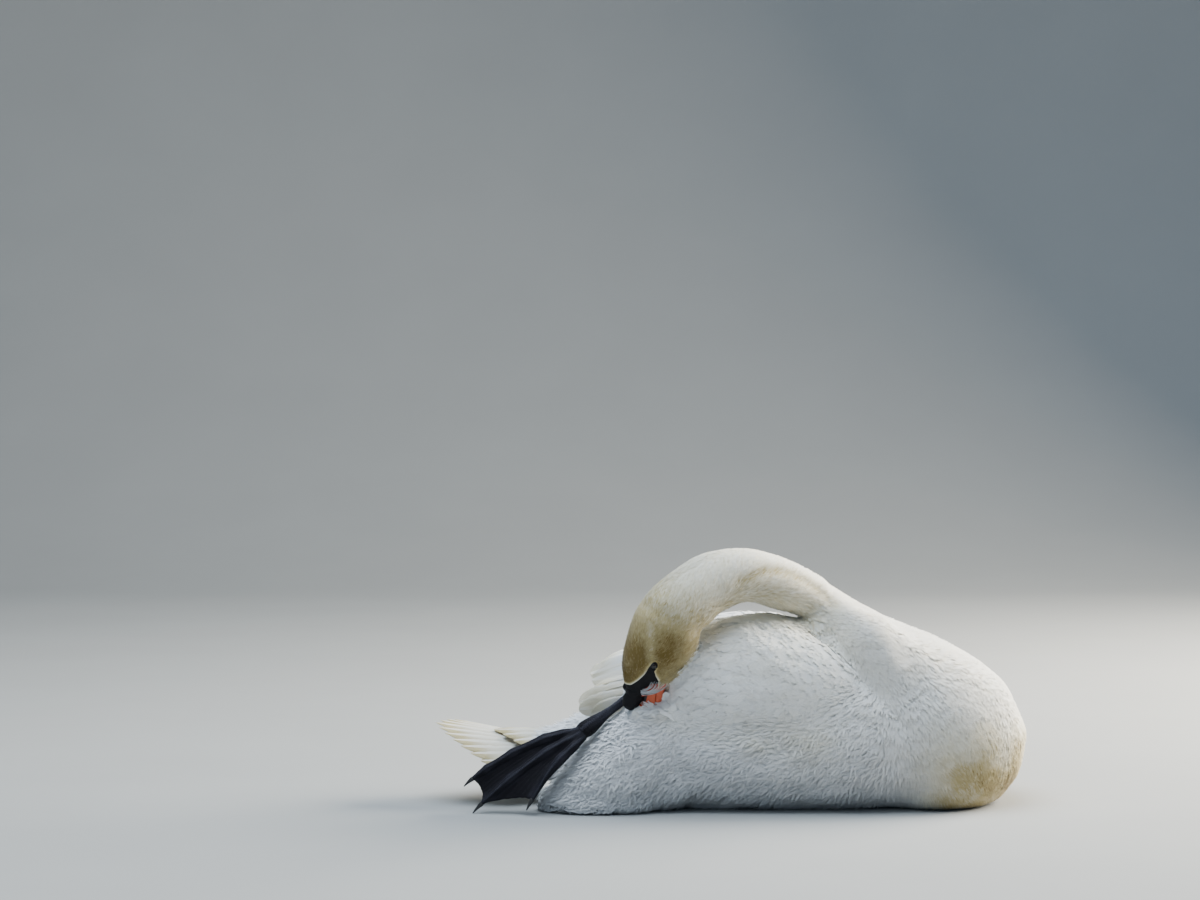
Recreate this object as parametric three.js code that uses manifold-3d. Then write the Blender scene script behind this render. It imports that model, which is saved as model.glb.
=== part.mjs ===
// A life-size mute swan that sits on the ground with its neck arched back over its right side, its bill
// in the plumage of the right flank, and its right leg stretched out behind.
// Millimetres. +X is the way the breast points, +Z is up, and the swan's right side faces -Y.
import * as THREE from 'three';
import Module from 'manifold-3d';

const wasm = await Module();
wasm.setup();

// ---- Driving dimensions ----

const gap = 0.45; // clearance between pieces that touch
const tarsusLength = 110;
const eyeRadius = 5.6;
const eyeSpacing = 55; // from one eye's centre to the other's
const billLength = 96; // from the gape to the tip
const tailLength = 196;
const tidyWithin = 0.1; // of the true surface, where faces are merged
const floorDepth = 300; // of the block that levels whatever reaches below the floor
const frameShift = new THREE.Vector3(4, 9, 0); // brings the origin under the middle of the whole bird

const colours = {
  plumage: 0xeeece4,
  headPlumage: 0xcdb886,
  flightFeather: 0xf4f2ea,
  orangeBill: 0xd9562a,
  blackSkin: 0x17161a,
  claw: 0x0d0c0e,
  eye: 0x1c110b,
};

// ---- Small helpers ----

const vec = (x, y, z) => new THREE.Vector3(x, y, z);
const clamp = THREE.MathUtils.clamp;
const lerp = THREE.MathUtils.lerp;
const radians = THREE.MathUtils.degToRad;

// A smooth function of x through rows of numbers: the first number of each row is x, the rest are values.
function smooth(rows) {
  const xs = rows.map((row) => row[0]);
  const size = rows[0].length - 1;
  const values = rows.flatMap((row) => row.slice(1));
  const found = new Float64Array(size);
  const curve = new THREE.CubicInterpolant(xs, values, size, found);
  return (x) => Array.from(curve.evaluate(clamp(x, xs[0], xs[xs.length - 1])));
}

// A power that keeps its number's sign, for sections between an ellipse and a box.
const signedPower = (v, power) => Math.sign(v) * Math.abs(v) ** power;

// How full a body is at share t of its length, where its ends are round over shares first and last.
function roundEnds(t, first, last) {
  const a = first > 0 ? clamp(1 - t / first, 0, 1) : 0;
  const b = last > 0 ? clamp(1 - (1 - t) / last, 0, 1) : 0;
  return Math.sqrt(Math.max(0, 1 - a * a)) * Math.sqrt(Math.max(0, 1 - b * b));
}

// Shares of a length, closer together near ends that are round.
function shares(count, roundFirst, roundLast) {
  return Array.from({ length: count + 1 }, (_, i) => {
    const even = i / count;
    const eased = 0.5 - 0.5 * Math.cos(Math.PI * even);
    if (roundFirst && roundLast) return eased;
    if (roundFirst) return 1 - Math.cos((Math.PI / 2) * even);
    return roundLast ? Math.sin((Math.PI / 2) * even) : even;
  });
}

// A closed body through rings. ring(t) gives its middle, its side and up half axes as vectors, how deep
// it is below the middle as a share of up, and the power of its section (2 is an ellipse).
function loft(ring, at, around) {
  const places = [];
  for (const t of at) {
    const { middle, side, up, below = 1, power = 2, droop = 0 } = ring(t);
    for (let k = 0; k < around; k++) {
      const angle = (2 * Math.PI * k) / around;
      const across = signedPower(Math.cos(angle), 2 / power);
      const height = signedPower(Math.sin(angle), 2 / power);
      const lift = (height < 0 ? height * below : height) - droop * across * across;
      places.push(middle.clone().addScaledVector(side, across).addScaledVector(up, lift));
    }
  }
  const ends = [at[0], at[at.length - 1]].map((t) => ring(t).middle);
  const flat = [...places, ...ends].flatMap((p) => p.toArray());
  const faces = [];
  const rings = at.length;
  for (let i = 0; i < rings - 1; i++) {
    for (let k = 0; k < around; k++) {
      const a = i * around + k;
      const b = i * around + ((k + 1) % around);
      faces.push(a, b, a + around, b, b + around, a + around);
    }
  }
  for (let k = 0; k < around; k++) {
    const next = (k + 1) % around;
    const last = (rings - 1) * around;
    faces.push(rings * around, next, k, rings * around + 1, last + k, last + next);
  }
  const geometry = new THREE.BufferGeometry();
  geometry.setAttribute('position', new THREE.Float32BufferAttribute(flat, 3));
  geometry.setIndex(faces);
  return solid(geometry);
}

// A closed geometry with shared vertices, as a solid whose faces point outwards.
function solid(geometry) {
  const make = (triVerts) =>
    new wasm.Manifold(
      new wasm.Mesh({
        numProp: 3,
        vertProperties: new Float32Array(geometry.attributes.position.array),
        triVerts: new Uint32Array(triVerts),
      }),
    );
  const faces = Array.from(geometry.index.array);
  const made = make(faces);
  if (made.volume() > 0) return made;
  return make(faces.reverse());
}

function geometryOf(body) {
  const mesh = body.getMesh();
  const places = new Float32Array(mesh.numVert * 3);
  for (let i = 0; i < mesh.numVert; i++) {
    const from = i * mesh.numProp;
    places.set(mesh.vertProperties.subarray(from, from + 3), i * 3);
  }
  const geometry = new THREE.BufferGeometry();
  geometry.setAttribute('position', new THREE.BufferAttribute(places, 3));
  geometry.setIndex(new THREE.BufferAttribute(mesh.triVerts, 1));
  geometry.computeVertexNormals();
  return geometry;
}

// A box between two corners, as a solid.
function block(low, high) {
  const corners = [0, 1, 2, 3, 4, 5, 6, 7].flatMap((i) => [
    i & 1 ? high.x : low.x,
    i & 2 ? high.y : low.y,
    i & 4 ? high.z : low.z,
  ]);
  const geometry = new THREE.BufferGeometry();
  geometry.setAttribute('position', new THREE.Float32BufferAttribute(corners, 3));
  const sides = [[0, 2, 3, 1], [4, 5, 7, 6], [0, 1, 5, 4], [2, 6, 7, 3], [0, 4, 6, 2], [1, 3, 7, 5]];
  geometry.setIndex(sides.flatMap(([a, b, c, d]) => [a, b, c, a, c, d]));
  return solid(geometry);
}

// An ellipsoid with its own axes, as a solid. axes holds three vectors as long as its half sizes.
function ellipsoid(centre, axes, around = 16, along = 10) {
  const [side, up, forward] = axes;
  const ring = (t) => {
    const size = roundEnds(t, 0.5, 0.5);
    return {
      middle: centre.clone().addScaledVector(forward, 2 * t - 1),
      side: side.clone().multiplyScalar(Math.max(size, 0.02)),
      up: up.clone().multiplyScalar(Math.max(size, 0.02)),
    };
  };
  return loft(ring, shares(along, true, true), around);
}

const floor = block(vec(-900, -900, -floorDepth), vec(900, 900, 0));
const aboveFloor = (body) => body.subtract(floor);
const joined = (bodies) => bodies.reduce((whole, body) => whole.add(body));
const without = (body, others) => others.reduce((left, other) => left.subtract(other), body);

// The largest body of a solid, which drops slivers that a cut leaves.
function largest(body) {
  return body.decompose().reduce((best, b) => (b.volume() > best.volume() ? b : best));
}

// Mirrors a solid from the swan's right side (-Y) to its left.
function mirrored(body) {
  const geometry = geometryOf(body);
  geometry.scale(1, -1, 1);
  return solid(geometry);
}

// ---- Trunk ----

// x, top and bottom heights, half width and section power, from the tail's root to the breast.
const trunkLine = smooth([
  [-300, 96, 66, 32, 2.0],
  [-250, 103, 22, 66, 2.1],
  [-190, 132, -6, 104, 2.2],
  [-110, 188, -12, 134, 2.3],
  [0, 230, -14, 150, 2.4],
  [110, 240, -14, 152, 2.4],
  [210, 224, -14, 147, 2.3],
  [300, 170, -10, 120, 2.2],
]);
const trunkStart = -300;
const trunkEnd = 320;

function trunk(grow = 0) {
  const ring = (t) => {
    const x = lerp(trunkStart - grow, trunkEnd + grow, t);
    const [top, bottom, half, power] = trunkLine(x);
    const middle = lerp(bottom, top, 0.42);
    const full = Math.max(roundEnds(t, 0.07, 0.12), 0.03);
    return {
      middle: vec(x, 0, middle),
      side: vec(0, -(half + grow) * full, 0),
      up: vec(0, 0, (top - middle + grow) * full),
      below: (middle - bottom + grow) / (top - middle + grow),
      power,
    };
  };
  return loft(ring, shares(15, true, true), 20);
}

// ---- Head, in its own axes: forward along the face, up to the crown, side to the left cheek ----

const faceLean = radians(15.5); // of the face, from straight down towards the tail
const crownTurn = radians(20); // of the crown, towards the near side
const billInwards = radians(8); // of the bill, into the flank
const leftEye = vec(-116, -163, 206);

function headAxes() {
  const forward = vec(-Math.sin(faceLean), 0, -Math.cos(faceLean));
  const crown = vec(-Math.cos(faceLean), 0, Math.sin(faceLean));
  const left = crown.clone().cross(forward);
  const up = crown.clone().multiplyScalar(Math.cos(crownTurn)).addScaledVector(left, Math.sin(crownTurn));
  const side = up.clone().cross(forward);
  const front = forward.clone().multiplyScalar(Math.cos(billInwards));
  front.addScaledVector(side, -Math.sin(billInwards));
  return { front, up, side: up.clone().cross(front) };
}
const head = headAxes();
const headMiddle = leftEye.clone().addScaledVector(head.side, -eyeSpacing / 2);

// A point of the head: f forwards from between the eyes, u towards the crown, s to the left.
function onHead(f, u, s = 0) {
  return headMiddle
    .clone()
    .addScaledVector(head.front, f)
    .addScaledVector(head.up, u)
    .addScaledVector(head.side, s);
}

// ---- Neck, from inside the breast to the back of the head ----

// Middle of the neck: x, y, z, then half thickness outside and inside the bend, and half width.
const neckRows = [
  [260, 0, -34, 68, 70, 92],
  [271, 0, 28, 110, 92, 132],
  [273, 0, 82, 138, 98, 150],
  [240, -2, 150, 104, 88, 142],
  [192, -10, 214, 52, 54, 82],
  [146, -24, 257, 34, 33, 40],
  [102, -50, 291, 30, 30, 33],
  [55, -78, 312, 34, 34, 35],
  [8, -100, 321, 39, 34, 37],
  [-38, -118, 310, 45, 39, 39],
  [-70, -131, 295, 40, 49, 41],
  [...onHead(-66, -8).toArray(), 41, 45, 40],
  [...onHead(-30, -9).toArray(), 43, 44, 38],
];
const neckPath = new THREE.CatmullRomCurve3(
  neckRows.map(([x, y, z]) => vec(x, y, z)),
  false,
  'centripetal',
);
const neckSize = smooth(neckRows.map((row, i) => [i / (neckRows.length - 1), ...row.slice(3)]));
const towardsRight = vec(0, -1, 0);

// The neck's section at share t: its middle, and its side and outward axes of unit length.
function neckFrame(t) {
  const middle = neckPath.getPoint(t);
  const forward = neckPath.getTangent(t);
  const side = towardsRight.clone().addScaledVector(forward, -towardsRight.dot(forward)).normalize();
  return { middle, forward, side, out: forward.clone().cross(side).normalize() };
}

// One length of the neck, from share a to share b.
function neckLength(a, b, rings, around = 18, grow = 0) {
  const ring = (t) => {
    const share = clamp(lerp(a, b, t), 0, 1);
    const [out, inside, half] = neckSize(share);
    const { middle, side, out: outward } = neckFrame(share);
    return {
      middle,
      side: side.multiplyScalar(half + grow),
      up: outward.multiplyScalar(out + grow),
      below: (inside + grow) / (out + grow),
      power: 2.1,
    };
  };
  return loft(ring, shares(rings, false, false), around);
}

// f, crown and throat heights, half width.
const skullLine = smooth([
  [-66, 35, -55, 40],
  [-42, 37, -62, 39],
  [-15, 36, -57, 35],
  [8, 34, -48, 30],
  [26, 28, -38, 24],
  [42, 19, -31, 18],
  [54, 10, -27, 14],
]);
const skullStart = -66;
const skullEnd = 54;

function skull(grow = 0) {
  const ring = (t) => {
    const f = lerp(skullStart, skullEnd + grow, t);
    const [crown, throat, half] = skullLine(f);
    const full = Math.max(roundEnds(t, 0, 0.1), 0.2);
    const middle = (crown + throat) / 2;
    return {
      middle: onHead(f, middle),
      side: head.side.clone().multiplyScalar((half + grow) * full),
      up: head.up.clone().multiplyScalar(((crown - throat) / 2 + grow) * full),
      power: 2.15,
    };
  };
  return loft(ring, shares(10, false, true), 18);
}

// ---- Bill ----

const billDrop = radians(17); // of the bill's line below the face's
const billRoot = { f: 24, u: -13 };

// A point of the bill: d along it from its root, h above its middle line, s to the left.
function onBill(d, h, s = 0) {
  const f = billRoot.f + d * Math.cos(billDrop) + h * Math.sin(billDrop);
  const u = billRoot.u - d * Math.sin(billDrop) + h * Math.cos(billDrop);
  return onHead(f, u, s);
}

// d, half height and half width.
const billLine = smooth([
  [0, 20, 15.5],
  [25, 16.5, 15],
  [50, 11.5, 15.5],
  [75, 8, 16.5],
  [billLength, 6, 15],
]);

function bill(grow = 0) {
  const upAxis = onBill(0, 1).sub(onBill(0, 0));
  const ring = (t) => {
    const d = lerp(0, billLength + grow, t);
    const [high, half] = billLine(d);
    const full = Math.max(roundEnds(t, 0, 0.16), 0.15);
    return {
      middle: onBill(d, -0.25 * (1 - t) * high),
      side: head.side.clone().multiplyScalar((half + grow) * full),
      up: upAxis.clone().multiplyScalar((high + grow) * Math.sqrt(full)),
      power: 2.2,
    };
  };
  return loft(ring, shares(8, false, true), 14);
}

// A thin slab through the bill along its mouth line, from the gape to the tip.
function mouthCut() {
  const up = onBill(0, 1).sub(onBill(0, 0));
  const ring = (t) => ({
    middle: onBill(lerp(-60, billLength + 20, t), lerp(-7, -2, t)),
    side: head.side.clone().multiplyScalar(60),
    up: up.clone().multiplyScalar(gap / 2),
    power: 60,
  });
  return { slab: loft(ring, [0, 1], 4), up };
}

const knobSize = { long: 15, tall: 12.5, wide: 11 };
function knob(grow = 0) {
  const axes = [
    head.side.clone().multiplyScalar(knobSize.wide + grow),
    head.up.clone().multiplyScalar(knobSize.tall + grow),
    head.front.clone().multiplyScalar(knobSize.long + grow),
  ];
  return ellipsoid(onHead(60, 2), axes, 12, 8);
}

const nailSize = { long: 13, tall: 9, wide: 7.5 };
function nail(grow = 0) {
  const axes = [
    head.side.clone().multiplyScalar(nailSize.wide + grow),
    onBill(0, 1).sub(onBill(0, 0)).multiplyScalar(nailSize.tall + grow),
    onBill(1, 0).sub(onBill(0, 0)).multiplyScalar(nailSize.long + grow),
  ];
  return ellipsoid(onBill(billLength - 3, 5), axes, 12, 8);
}

function eye(side, grow = 0) {
  const size = eyeRadius + grow;
  const centre = onHead(0, 0, (side * eyeSpacing) / 2);
  const axes = [head.side, head.up, head.front].map((a) => a.clone().multiplyScalar(size));
  return ellipsoid(centre, axes, 10, 6);
}

// ---- Wings: a folded arm under its coverts, then the long feathers that reach over the rump ----

// Middle of the folded wing, its half height and half width, for the right side.
const wingRows = [
  [228, -70, 138, 50, 40],
  [150, -78, 154, 74, 64],
  [50, -80, 170, 91, 80],
  [-40, -72, 167, 86, 78],
  [-105, -62, 160, 60, 62],
  [-158, -54, 156, 30, 42],
];
const wingPath = new THREE.CatmullRomCurve3(wingRows.map(([x, y, z]) => vec(x, y, z)));
const wingSize = smooth(wingRows.map((row, i) => [i / (wingRows.length - 1), row[3], row[4]]));

function wing(grow = 0) {
  const ring = (t) => {
    const [high, half] = wingSize(t);
    const full = Math.max(roundEnds(t, 0.2, 0.14), 0.06);
    return {
      middle: wingPath.getPoint(t),
      side: vec(0, -(half + grow) * full, 0),
      up: vec(0, 0, (high + grow) * full),
      power: 2.2,
    };
  };
  return loft(ring, shares(12, true, true), 18);
}

// A long flat feather from root to tip. across is its width direction, and its sides droop.
function blade(root, tip, across, half, thick, { droop = 0, grow = 0, rings = 5 } = {}) {
  const along = tip.clone().sub(root).normalize();
  const side = across.clone().addScaledVector(along, -across.dot(along)).normalize();
  const up = side.clone().cross(along).normalize();
  if (up.z < 0) up.negate();
  const ring = (t) => {
    const wide = half * Math.sqrt(clamp((1 - t) / 0.28, 0.02, 1)) * lerp(0.6, 1, clamp(t / 0.4, 0, 1));
    const deep = lerp(thick, 0.7, t) / 2 + grow;
    return {
      middle: root.clone().lerp(tip, t),
      side: side.clone().multiplyScalar(wide + grow),
      up: up.clone().multiplyScalar(deep),
      droop: (droop * wide) / (half * deep),
    };
  };
  return loft(ring, shares(rings, false, true), 6);
}

// Where each long feather of the right wing ends, from the lowest to the highest.
const leftTuck = [12, 0, -14]; // how much lower and further forwards the left wing's ends lie
const primaryTips = [[-200, -80, 129], [-214, -78, 133], [-222, -74, 140], [-214, -69, 147], [-201, -64, 153]];
function primaries() {
  const blades = primaryTips.map(([x, y, z], i) => {
    const root = vec(-60, y - 4, 150 + 8 * i);
    return blade(root, vec(x, y, z), vec(0, -0.35, 1), 20, 3.6);
  });
  return joined(blades);
}

const tertialTips = [[-186, -68, 169], [-199, -62, 175], [-201, -54, 183], [-186, -46, 191]];
function tertials(grow = 0) {
  const blades = tertialTips.map(([x, y, z], i) => {
    const root = vec(-40, y + 2, 205 + 8 * i);
    return blade(root, vec(x, y, z), vec(0, -0.62, -0.78), 25, 3.8, { grow });
  });
  return joined(blades);
}

// ---- Tail: a fan of stiff feathers whose near side hangs lower ----

const tailRoot = vec(-222, 0, 70);
const tailLift = radians(10.5);
const tailRoll = radians(12);
const tailSpread = radians(27); // of the outermost feather, from the middle one
const tailPairs = 4;

function tailFeather(i) {
  const share = i / tailPairs;
  const turn = share * tailSpread;
  const length = tailLength * (1 - 0.34 * Math.abs(share) ** 1.3);
  const flat = vec(-Math.cos(turn) * length, Math.sin(turn) * length, 0);
  flat.y += 16 * share;
  const arch = -25 * share * share;
  const tip = vec(flat.x, flat.y, Math.tan(tailLift) * length + Math.sin(tailRoll) * flat.y + arch);
  const start = vec(0, 16 * share, 3 * share - 4 * share * share);
  const lean = tailRoll - share * 0.42;
  const across = vec(0, Math.cos(lean), Math.sin(lean));
  return blade(tailRoot.clone().add(start), tailRoot.clone().add(tip), across, 18, 4, { rings: 3 });
}

function tail() {
  const feathers = [];
  for (let i = -tailPairs; i <= tailPairs; i++) feathers.push(tailFeather(i));
  const coverts = ellipsoid(vec(-262, 0, 80), [vec(0, 46, 8), vec(0, -3, 16), vec(-58, 0, 9)], 10, 6);
  return joined([coverts, ...feathers]);
}

// ---- Legs and feet ----

// The bone between the ankle and the toes. upper is the way its front faces.
const tarsusSizes = smooth([[0, 10, 12.5], [0.2, 7.2, 9.8], [0.55, 7, 8.8], [0.85, 10.5, 8.8], [1, 14, 8.5]]);
function tarsus(ankle, knuckle, upper, grow = 0) {
  const along = knuckle.clone().sub(ankle).normalize();
  const front = upper.clone().addScaledVector(along, -upper.dot(along)).normalize();
  const side = front.clone().cross(along);
  const ring = (t) => {
    const [wide, deep] = tarsusSizes(t);
    const full = Math.max(roundEnds(t, 0.1, 0.06), 0.25);
    return {
      middle: ankle.clone().lerp(knuckle, t),
      side: side.clone().multiplyScalar((wide + grow) * full),
      up: front.clone().multiplyScalar((deep + grow) * full),
    };
  };
  return loft(ring, shares(8, true, true), 10);
}

// One toe from the leg's end to the claw's root, thicker at its joints.
const toeRadius = { root: 7, tip: 4.2 };
const toeNames = ['inner', 'middle', 'outer', 'hind'];
const clawLengths = [14, 16, 14, 7];
const curveThrough = (points) => new THREE.CatmullRomCurve3(points.map((p) => vec(...p)));

function toe(path, joints, grow = 0) {
  const ring = (t) => {
    const middle = path.getPoint(t);
    const along = path.getTangent(t);
    const side = along.clone().cross(vec(0.2, 1, 0.3)).normalize();
    const knuckle = 1 + 0.1 * Math.cos(2 * Math.PI * joints * t);
    const size = lerp(toeRadius.root, toeRadius.tip, t) * knuckle + grow;
    const full = Math.max(roundEnds(t, 0.04, 0.05), 0.35);
    return {
      middle,
      side: side.clone().multiplyScalar(size * full),
      up: side.clone().cross(along).multiplyScalar(size * full),
    };
  };
  return loft(ring, shares(2 * joints, false, false), 6);
}

// The web between two toes: a thin sheet that hangs a little below the line between them.
function web(first, second, normal, { reach = 0.99, sag = 4, thick = 1.5, grow = 0 } = {}) {
  const rings = 5;
  const across = 3;
  const place = (i, j) => {
    const t = lerp(0.05, reach - 0.04 * Math.sin((Math.PI * j) / across), i / rings);
    const spot = first.getPoint(t).lerp(second.getPoint(t), j / across);
    return spot.addScaledVector(normal, -sag * t * Math.sin((Math.PI * j) / across));
  };
  const half = normal.clone().multiplyScalar(thick / 2 + grow);
  const places = [];
  for (const sign of [1, -1]) {
    for (let i = 0; i <= rings; i++) {
      for (let j = 0; j <= across; j++) places.push(place(i, j).addScaledVector(half, sign));
    }
  }
  const row = across + 1;
  const layer = (rings + 1) * row;
  const faces = [];
  const quad = (a, b, c, d) => faces.push(a, b, c, a, c, d);
  for (let i = 0; i < rings; i++) {
    for (let j = 0; j < across; j++) {
      const a = i * row + j;
      quad(a, a + 1, a + row + 1, a + row);
      quad(layer + a, layer + a + row, layer + a + row + 1, layer + a + 1);
    }
  }
  for (let i = 0; i < rings; i++) {
    const a = i * row;
    const b = a + across;
    quad(a, a + row, layer + a + row, layer + a);
    quad(b + row, b, layer + b, layer + b + row);
  }
  for (let j = 0; j < across; j++) {
    const end = rings * row + j;
    quad(j + 1, j, layer + j, layer + j + 1);
    quad(end, end + 1, layer + end + 1, layer + end);
  }
  const geometry = new THREE.BufferGeometry();
  geometry.setAttribute('position', new THREE.Float32BufferAttribute(places.flatMap((p) => p.toArray()), 3));
  geometry.setIndex(faces);
  return solid(geometry);
}

// A claw that carries on from its toe and bends down.
function claw(path, length, grow = 0) {
  const start = path.getPoint(1);
  const along = path.getTangent(1);
  const bend = vec(-0.2, 0, -1);
  const side = along.clone().cross(bend).normalize();
  const ring = (t) => {
    const middle = start.clone().addScaledVector(along, gap - grow + (length + 2 * grow) * t);
    middle.addScaledVector(bend, 0.22 * length * t * t);
    const size = lerp(3.6, 0.9, t) + grow;
    return {
      middle,
      side: side.clone().multiplyScalar(size),
      up: side.clone().cross(along).multiplyScalar(size * 1.1),
    };
  };
  return loft(ring, shares(3, false, false), 6);
}

// A foot: paths of its inner, middle, outer and hind toes, two webs, and the way its upper side faces.
function foot(paths, normal, grow = 0) {
  const [inner, middle, outer, hind] = paths;
  const toes = [toe(inner, 2, grow), toe(middle, 3, grow), toe(outer, 4, grow), toe(hind, 1, grow - 2)];
  return joined([...toes, web(inner, middle, normal, { grow }), web(middle, outer, normal, { grow })]);
}

// ---- The whole bird ----

// Right leg: stretched back, the upper side of its foot facing outwards and its toes on the ground.
const rightKnuckle = vec(-212, -124, 111);
const rightAnkle = rightKnuckle.clone().addScaledVector(vec(0.7, 0.3, 0.648).normalize(), tarsusLength);
const rightUpper = vec(-0.22, -0.88, 0.42).normalize();
const rightToes = [
  [[-206, -126, 105], [-228, -138, 88], [-254, -146, 62], [-279, -150, 23]],
  [[-211, -124, 109], [-246, -129, 92], [-284, -131, 67], [-320, -130, 38], [-348, -129, 14]],
  [[-215, -121, 114], [-262, -120, 101], [-306, -118, 81], [-342, -116, 59], [-361, -115, 46]],
  [[-204, -112, 111], [-212, -103, 102], [-222, -96, 97]],
].map(curveThrough);

// Left leg: folded under the body, its foot flat on the floor.
const leftKnuckle = vec(-36, 112, 9);
const leftAnkle = leftKnuckle.clone().add(vec(-tarsusLength, -14, 8));
const leftUpper = vec(0, 0, 1);
const leftToes = [
  [[-32, 108, 8], [22, 98, 7], [62, 90, 4.6]],
  [[-32, 113, 8.5], [52, 120, 8], [104, 128, 4.6]],
  [[-32, 118, 8], [30, 140, 8], [84, 160, 4.6]],
  [[-44, 104, 9], [-56, 94, 7], [-64, 88, 5]],
].map(curveThrough);

// The hollow that the left foot lies in, under the body.
const leftRecess = ellipsoid(vec(10, 118, 0), [vec(0, 62, 0), vec(0, 0, 26), vec(150, 0, 0)], 12, 6);

const thighSize = { long: 185, wide: 56, tall: 71 };
const thighSlope = radians(48); // of the thigh's long axis, down towards the tail
function thigh(side, grow = 0) {
  const axes = [
    vec(0, thighSize.wide + grow, 0),
    vec(-Math.sin(thighSlope), 0, Math.cos(thighSlope)).multiplyScalar(thighSize.tall + grow),
    vec(Math.cos(thighSlope), 0, Math.sin(thighSlope)).multiplyScalar(thighSize.long + grow),
  ];
  const centre = side < 0 ? vec(-168, -98, 34) : vec(-150, 90, 34);
  return ellipsoid(centre, axes, 16, 10);
}

const neckCuts = [0, 0.36, 0.49, 0.63, 0.77, 1]; // breast, then four lengths of the neck
const neckNames = ['breast', 'neck_base', 'neck_lower', 'neck_middle', 'neck_upper'];

function build() {
  const pieces = new Map();
  const add = (name, body, material) =>
    pieces.set(name, { body: largest(body.simplify(tidyWithin)), material });

  const { slab: mouth, up: billUp } = mouthCut();
  const skullGrown = skull(gap);
  const wholeBill = bill();
  const billGrown = bill(gap);
  const eyes = { left: eye(1), right: eye(-1) };

  const legs = [
    { name: 'right', ankle: rightAnkle, knuckle: rightKnuckle, upper: rightUpper, toes: rightToes },
    { name: 'left', ankle: leftAnkle, knuckle: leftKnuckle, upper: leftUpper, toes: leftToes },
  ];
  const grownTarsi = legs.map(({ ankle, knuckle, upper }) => tarsus(ankle, knuckle, upper, gap));
  const grownFeet = legs.map(({ upper, toes }) => foot(toes, upper, gap));
  const grownClaws = joined(rightToes.map((path, k) => claw(path, clawLengths[k], gap)));
  const hardParts = [knob(gap), billGrown, ...grownTarsi, leftRecess];

  // Head: skull, eyes, knob, both halves of the bill and its nail.
  const headSolid = without(skull(), [knob(gap), billGrown, eye(1, gap), eye(-1, gap)]);
  add('head', headSolid, 'headPlumage');
  add('eye_left', eyes.left, 'eye');
  add('eye_right', eyes.right, 'eye');
  add('bill_knob', knob(), 'blackSkin');
  const halves = wholeBill.subtract(knob(gap)).subtract(mouth).decompose();
  halves.sort((a, b) => heightOf(b, billUp) - heightOf(a, billUp));
  const [upperHalf, lowerHalf] = halves;
  add('bill_upper', upperHalf.subtract(nail(gap)), 'orangeBill');
  add('bill_nail', upperHalf.intersect(nail()), 'blackSkin');
  add('bill_lower', lowerHalf, 'orangeBill');

  // Breast and neck, one continuous bend parted by thin cuts.
  const trim = gap / 2 / neckPath.getLength();
  const nape = onHead(skullStart - gap, 0).dot(head.front);
  const grownNeck = [];
  neckNames.forEach((name, i) => {
    const [rings, around] = i === 0 ? [9, 22] : [5, 16];
    const body = neckLength(neckCuts[i] + trim, neckCuts[i + 1] - trim, rings, around);
    const ended = i === 0 ? body : body.trimByPlane(head.front.clone().negate().toArray(), -nape);
    add(name, aboveFloor(ended), 'plumage');
    grownNeck.push(neckLength(neckCuts[i] - trim, neckCuts[i + 1] + trim, rings, around, gap));
  });

  // Trunk, thighs and wings give way to what lies on them.
  const onTop = [...hardParts, skullGrown, ...grownNeck];
  const trunkGrown = trunk(gap);
  const thighs = [thigh(-1), thigh(1)];
  add('trunk', aboveFloor(without(trunk(), onTop)), 'plumage');
  const grownThighs = [thigh(-1, gap), thigh(1, gap)];
  const rightCuts = [...onTop, trunkGrown, grownFeet[0], grownClaws];
  add('thigh_right', aboveFloor(without(thighs[0], rightCuts)), 'plumage');
  add('thigh_left', aboveFloor(without(thighs[1], [...onTop, trunkGrown])), 'plumage');
  const underWing = [...onTop, trunkGrown, ...grownThighs];
  const rightWing = wing();
  const middleCut = block(vec(-900, -gap / 2, -10), vec(900, gap / 2 + 400, 900));
  const leftCut = block(vec(-900, -gap / 2 - 400, -10), vec(900, gap / 2, 900));
  add('wing_right', without(rightWing, [...underWing, middleCut]), 'plumage');
  add('wing_left', without(mirrored(rightWing), [...underWing, leftCut]), 'plumage');

  const wingsGrown = wing(gap);
  const underFeathers = [...underWing, wingsGrown, mirrored(wingsGrown)];
  add('tertials_right', without(tertials(), [...underFeathers, middleCut]), 'flightFeather');
  const leftTertials = mirrored(tertials()).translate(leftTuck);
  add('tertials_left', without(leftTertials, [...underFeathers, leftCut]), 'flightFeather');
  const rightPrimaries = primaries().subtract(tertials(gap));
  add('primaries_right', without(rightPrimaries, [...underFeathers, middleCut]), 'flightFeather');
  const leftPrimaries = mirrored(primaries().subtract(tertials(gap))).translate(leftTuck);
  add('primaries_left', without(leftPrimaries, [...underFeathers, leftCut]), 'flightFeather');
  add('tail', without(tail(), underFeathers), 'flightFeather');

  // Legs, feet and claws.
  for (const [i, { name, ankle, knuckle, upper, toes }] of legs.entries()) {
    add(`tarsus_${name}`, aboveFloor(tarsus(ankle, knuckle, upper)), 'blackSkin');
    add(`foot_${name}`, aboveFloor(foot(toes, upper).subtract(grownTarsi[i])), 'blackSkin');
    toeNames.forEach((toeName, k) => {
      const body = claw(toes[k], clawLengths[k]).subtract(grownFeet[i]);
      add(`claw_${toeName}_${name}`, aboveFloor(body), 'claw');
    });
  }
  return pieces;
}

// How far along an axis the middle of a solid's box lies.
function heightOf(body, axis) {
  const { min, max } = body.boundingBox();
  return vec((min[0] + max[0]) / 2, (min[1] + max[1]) / 2, (min[2] + max[2]) / 2).dot(axis);
}

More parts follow.
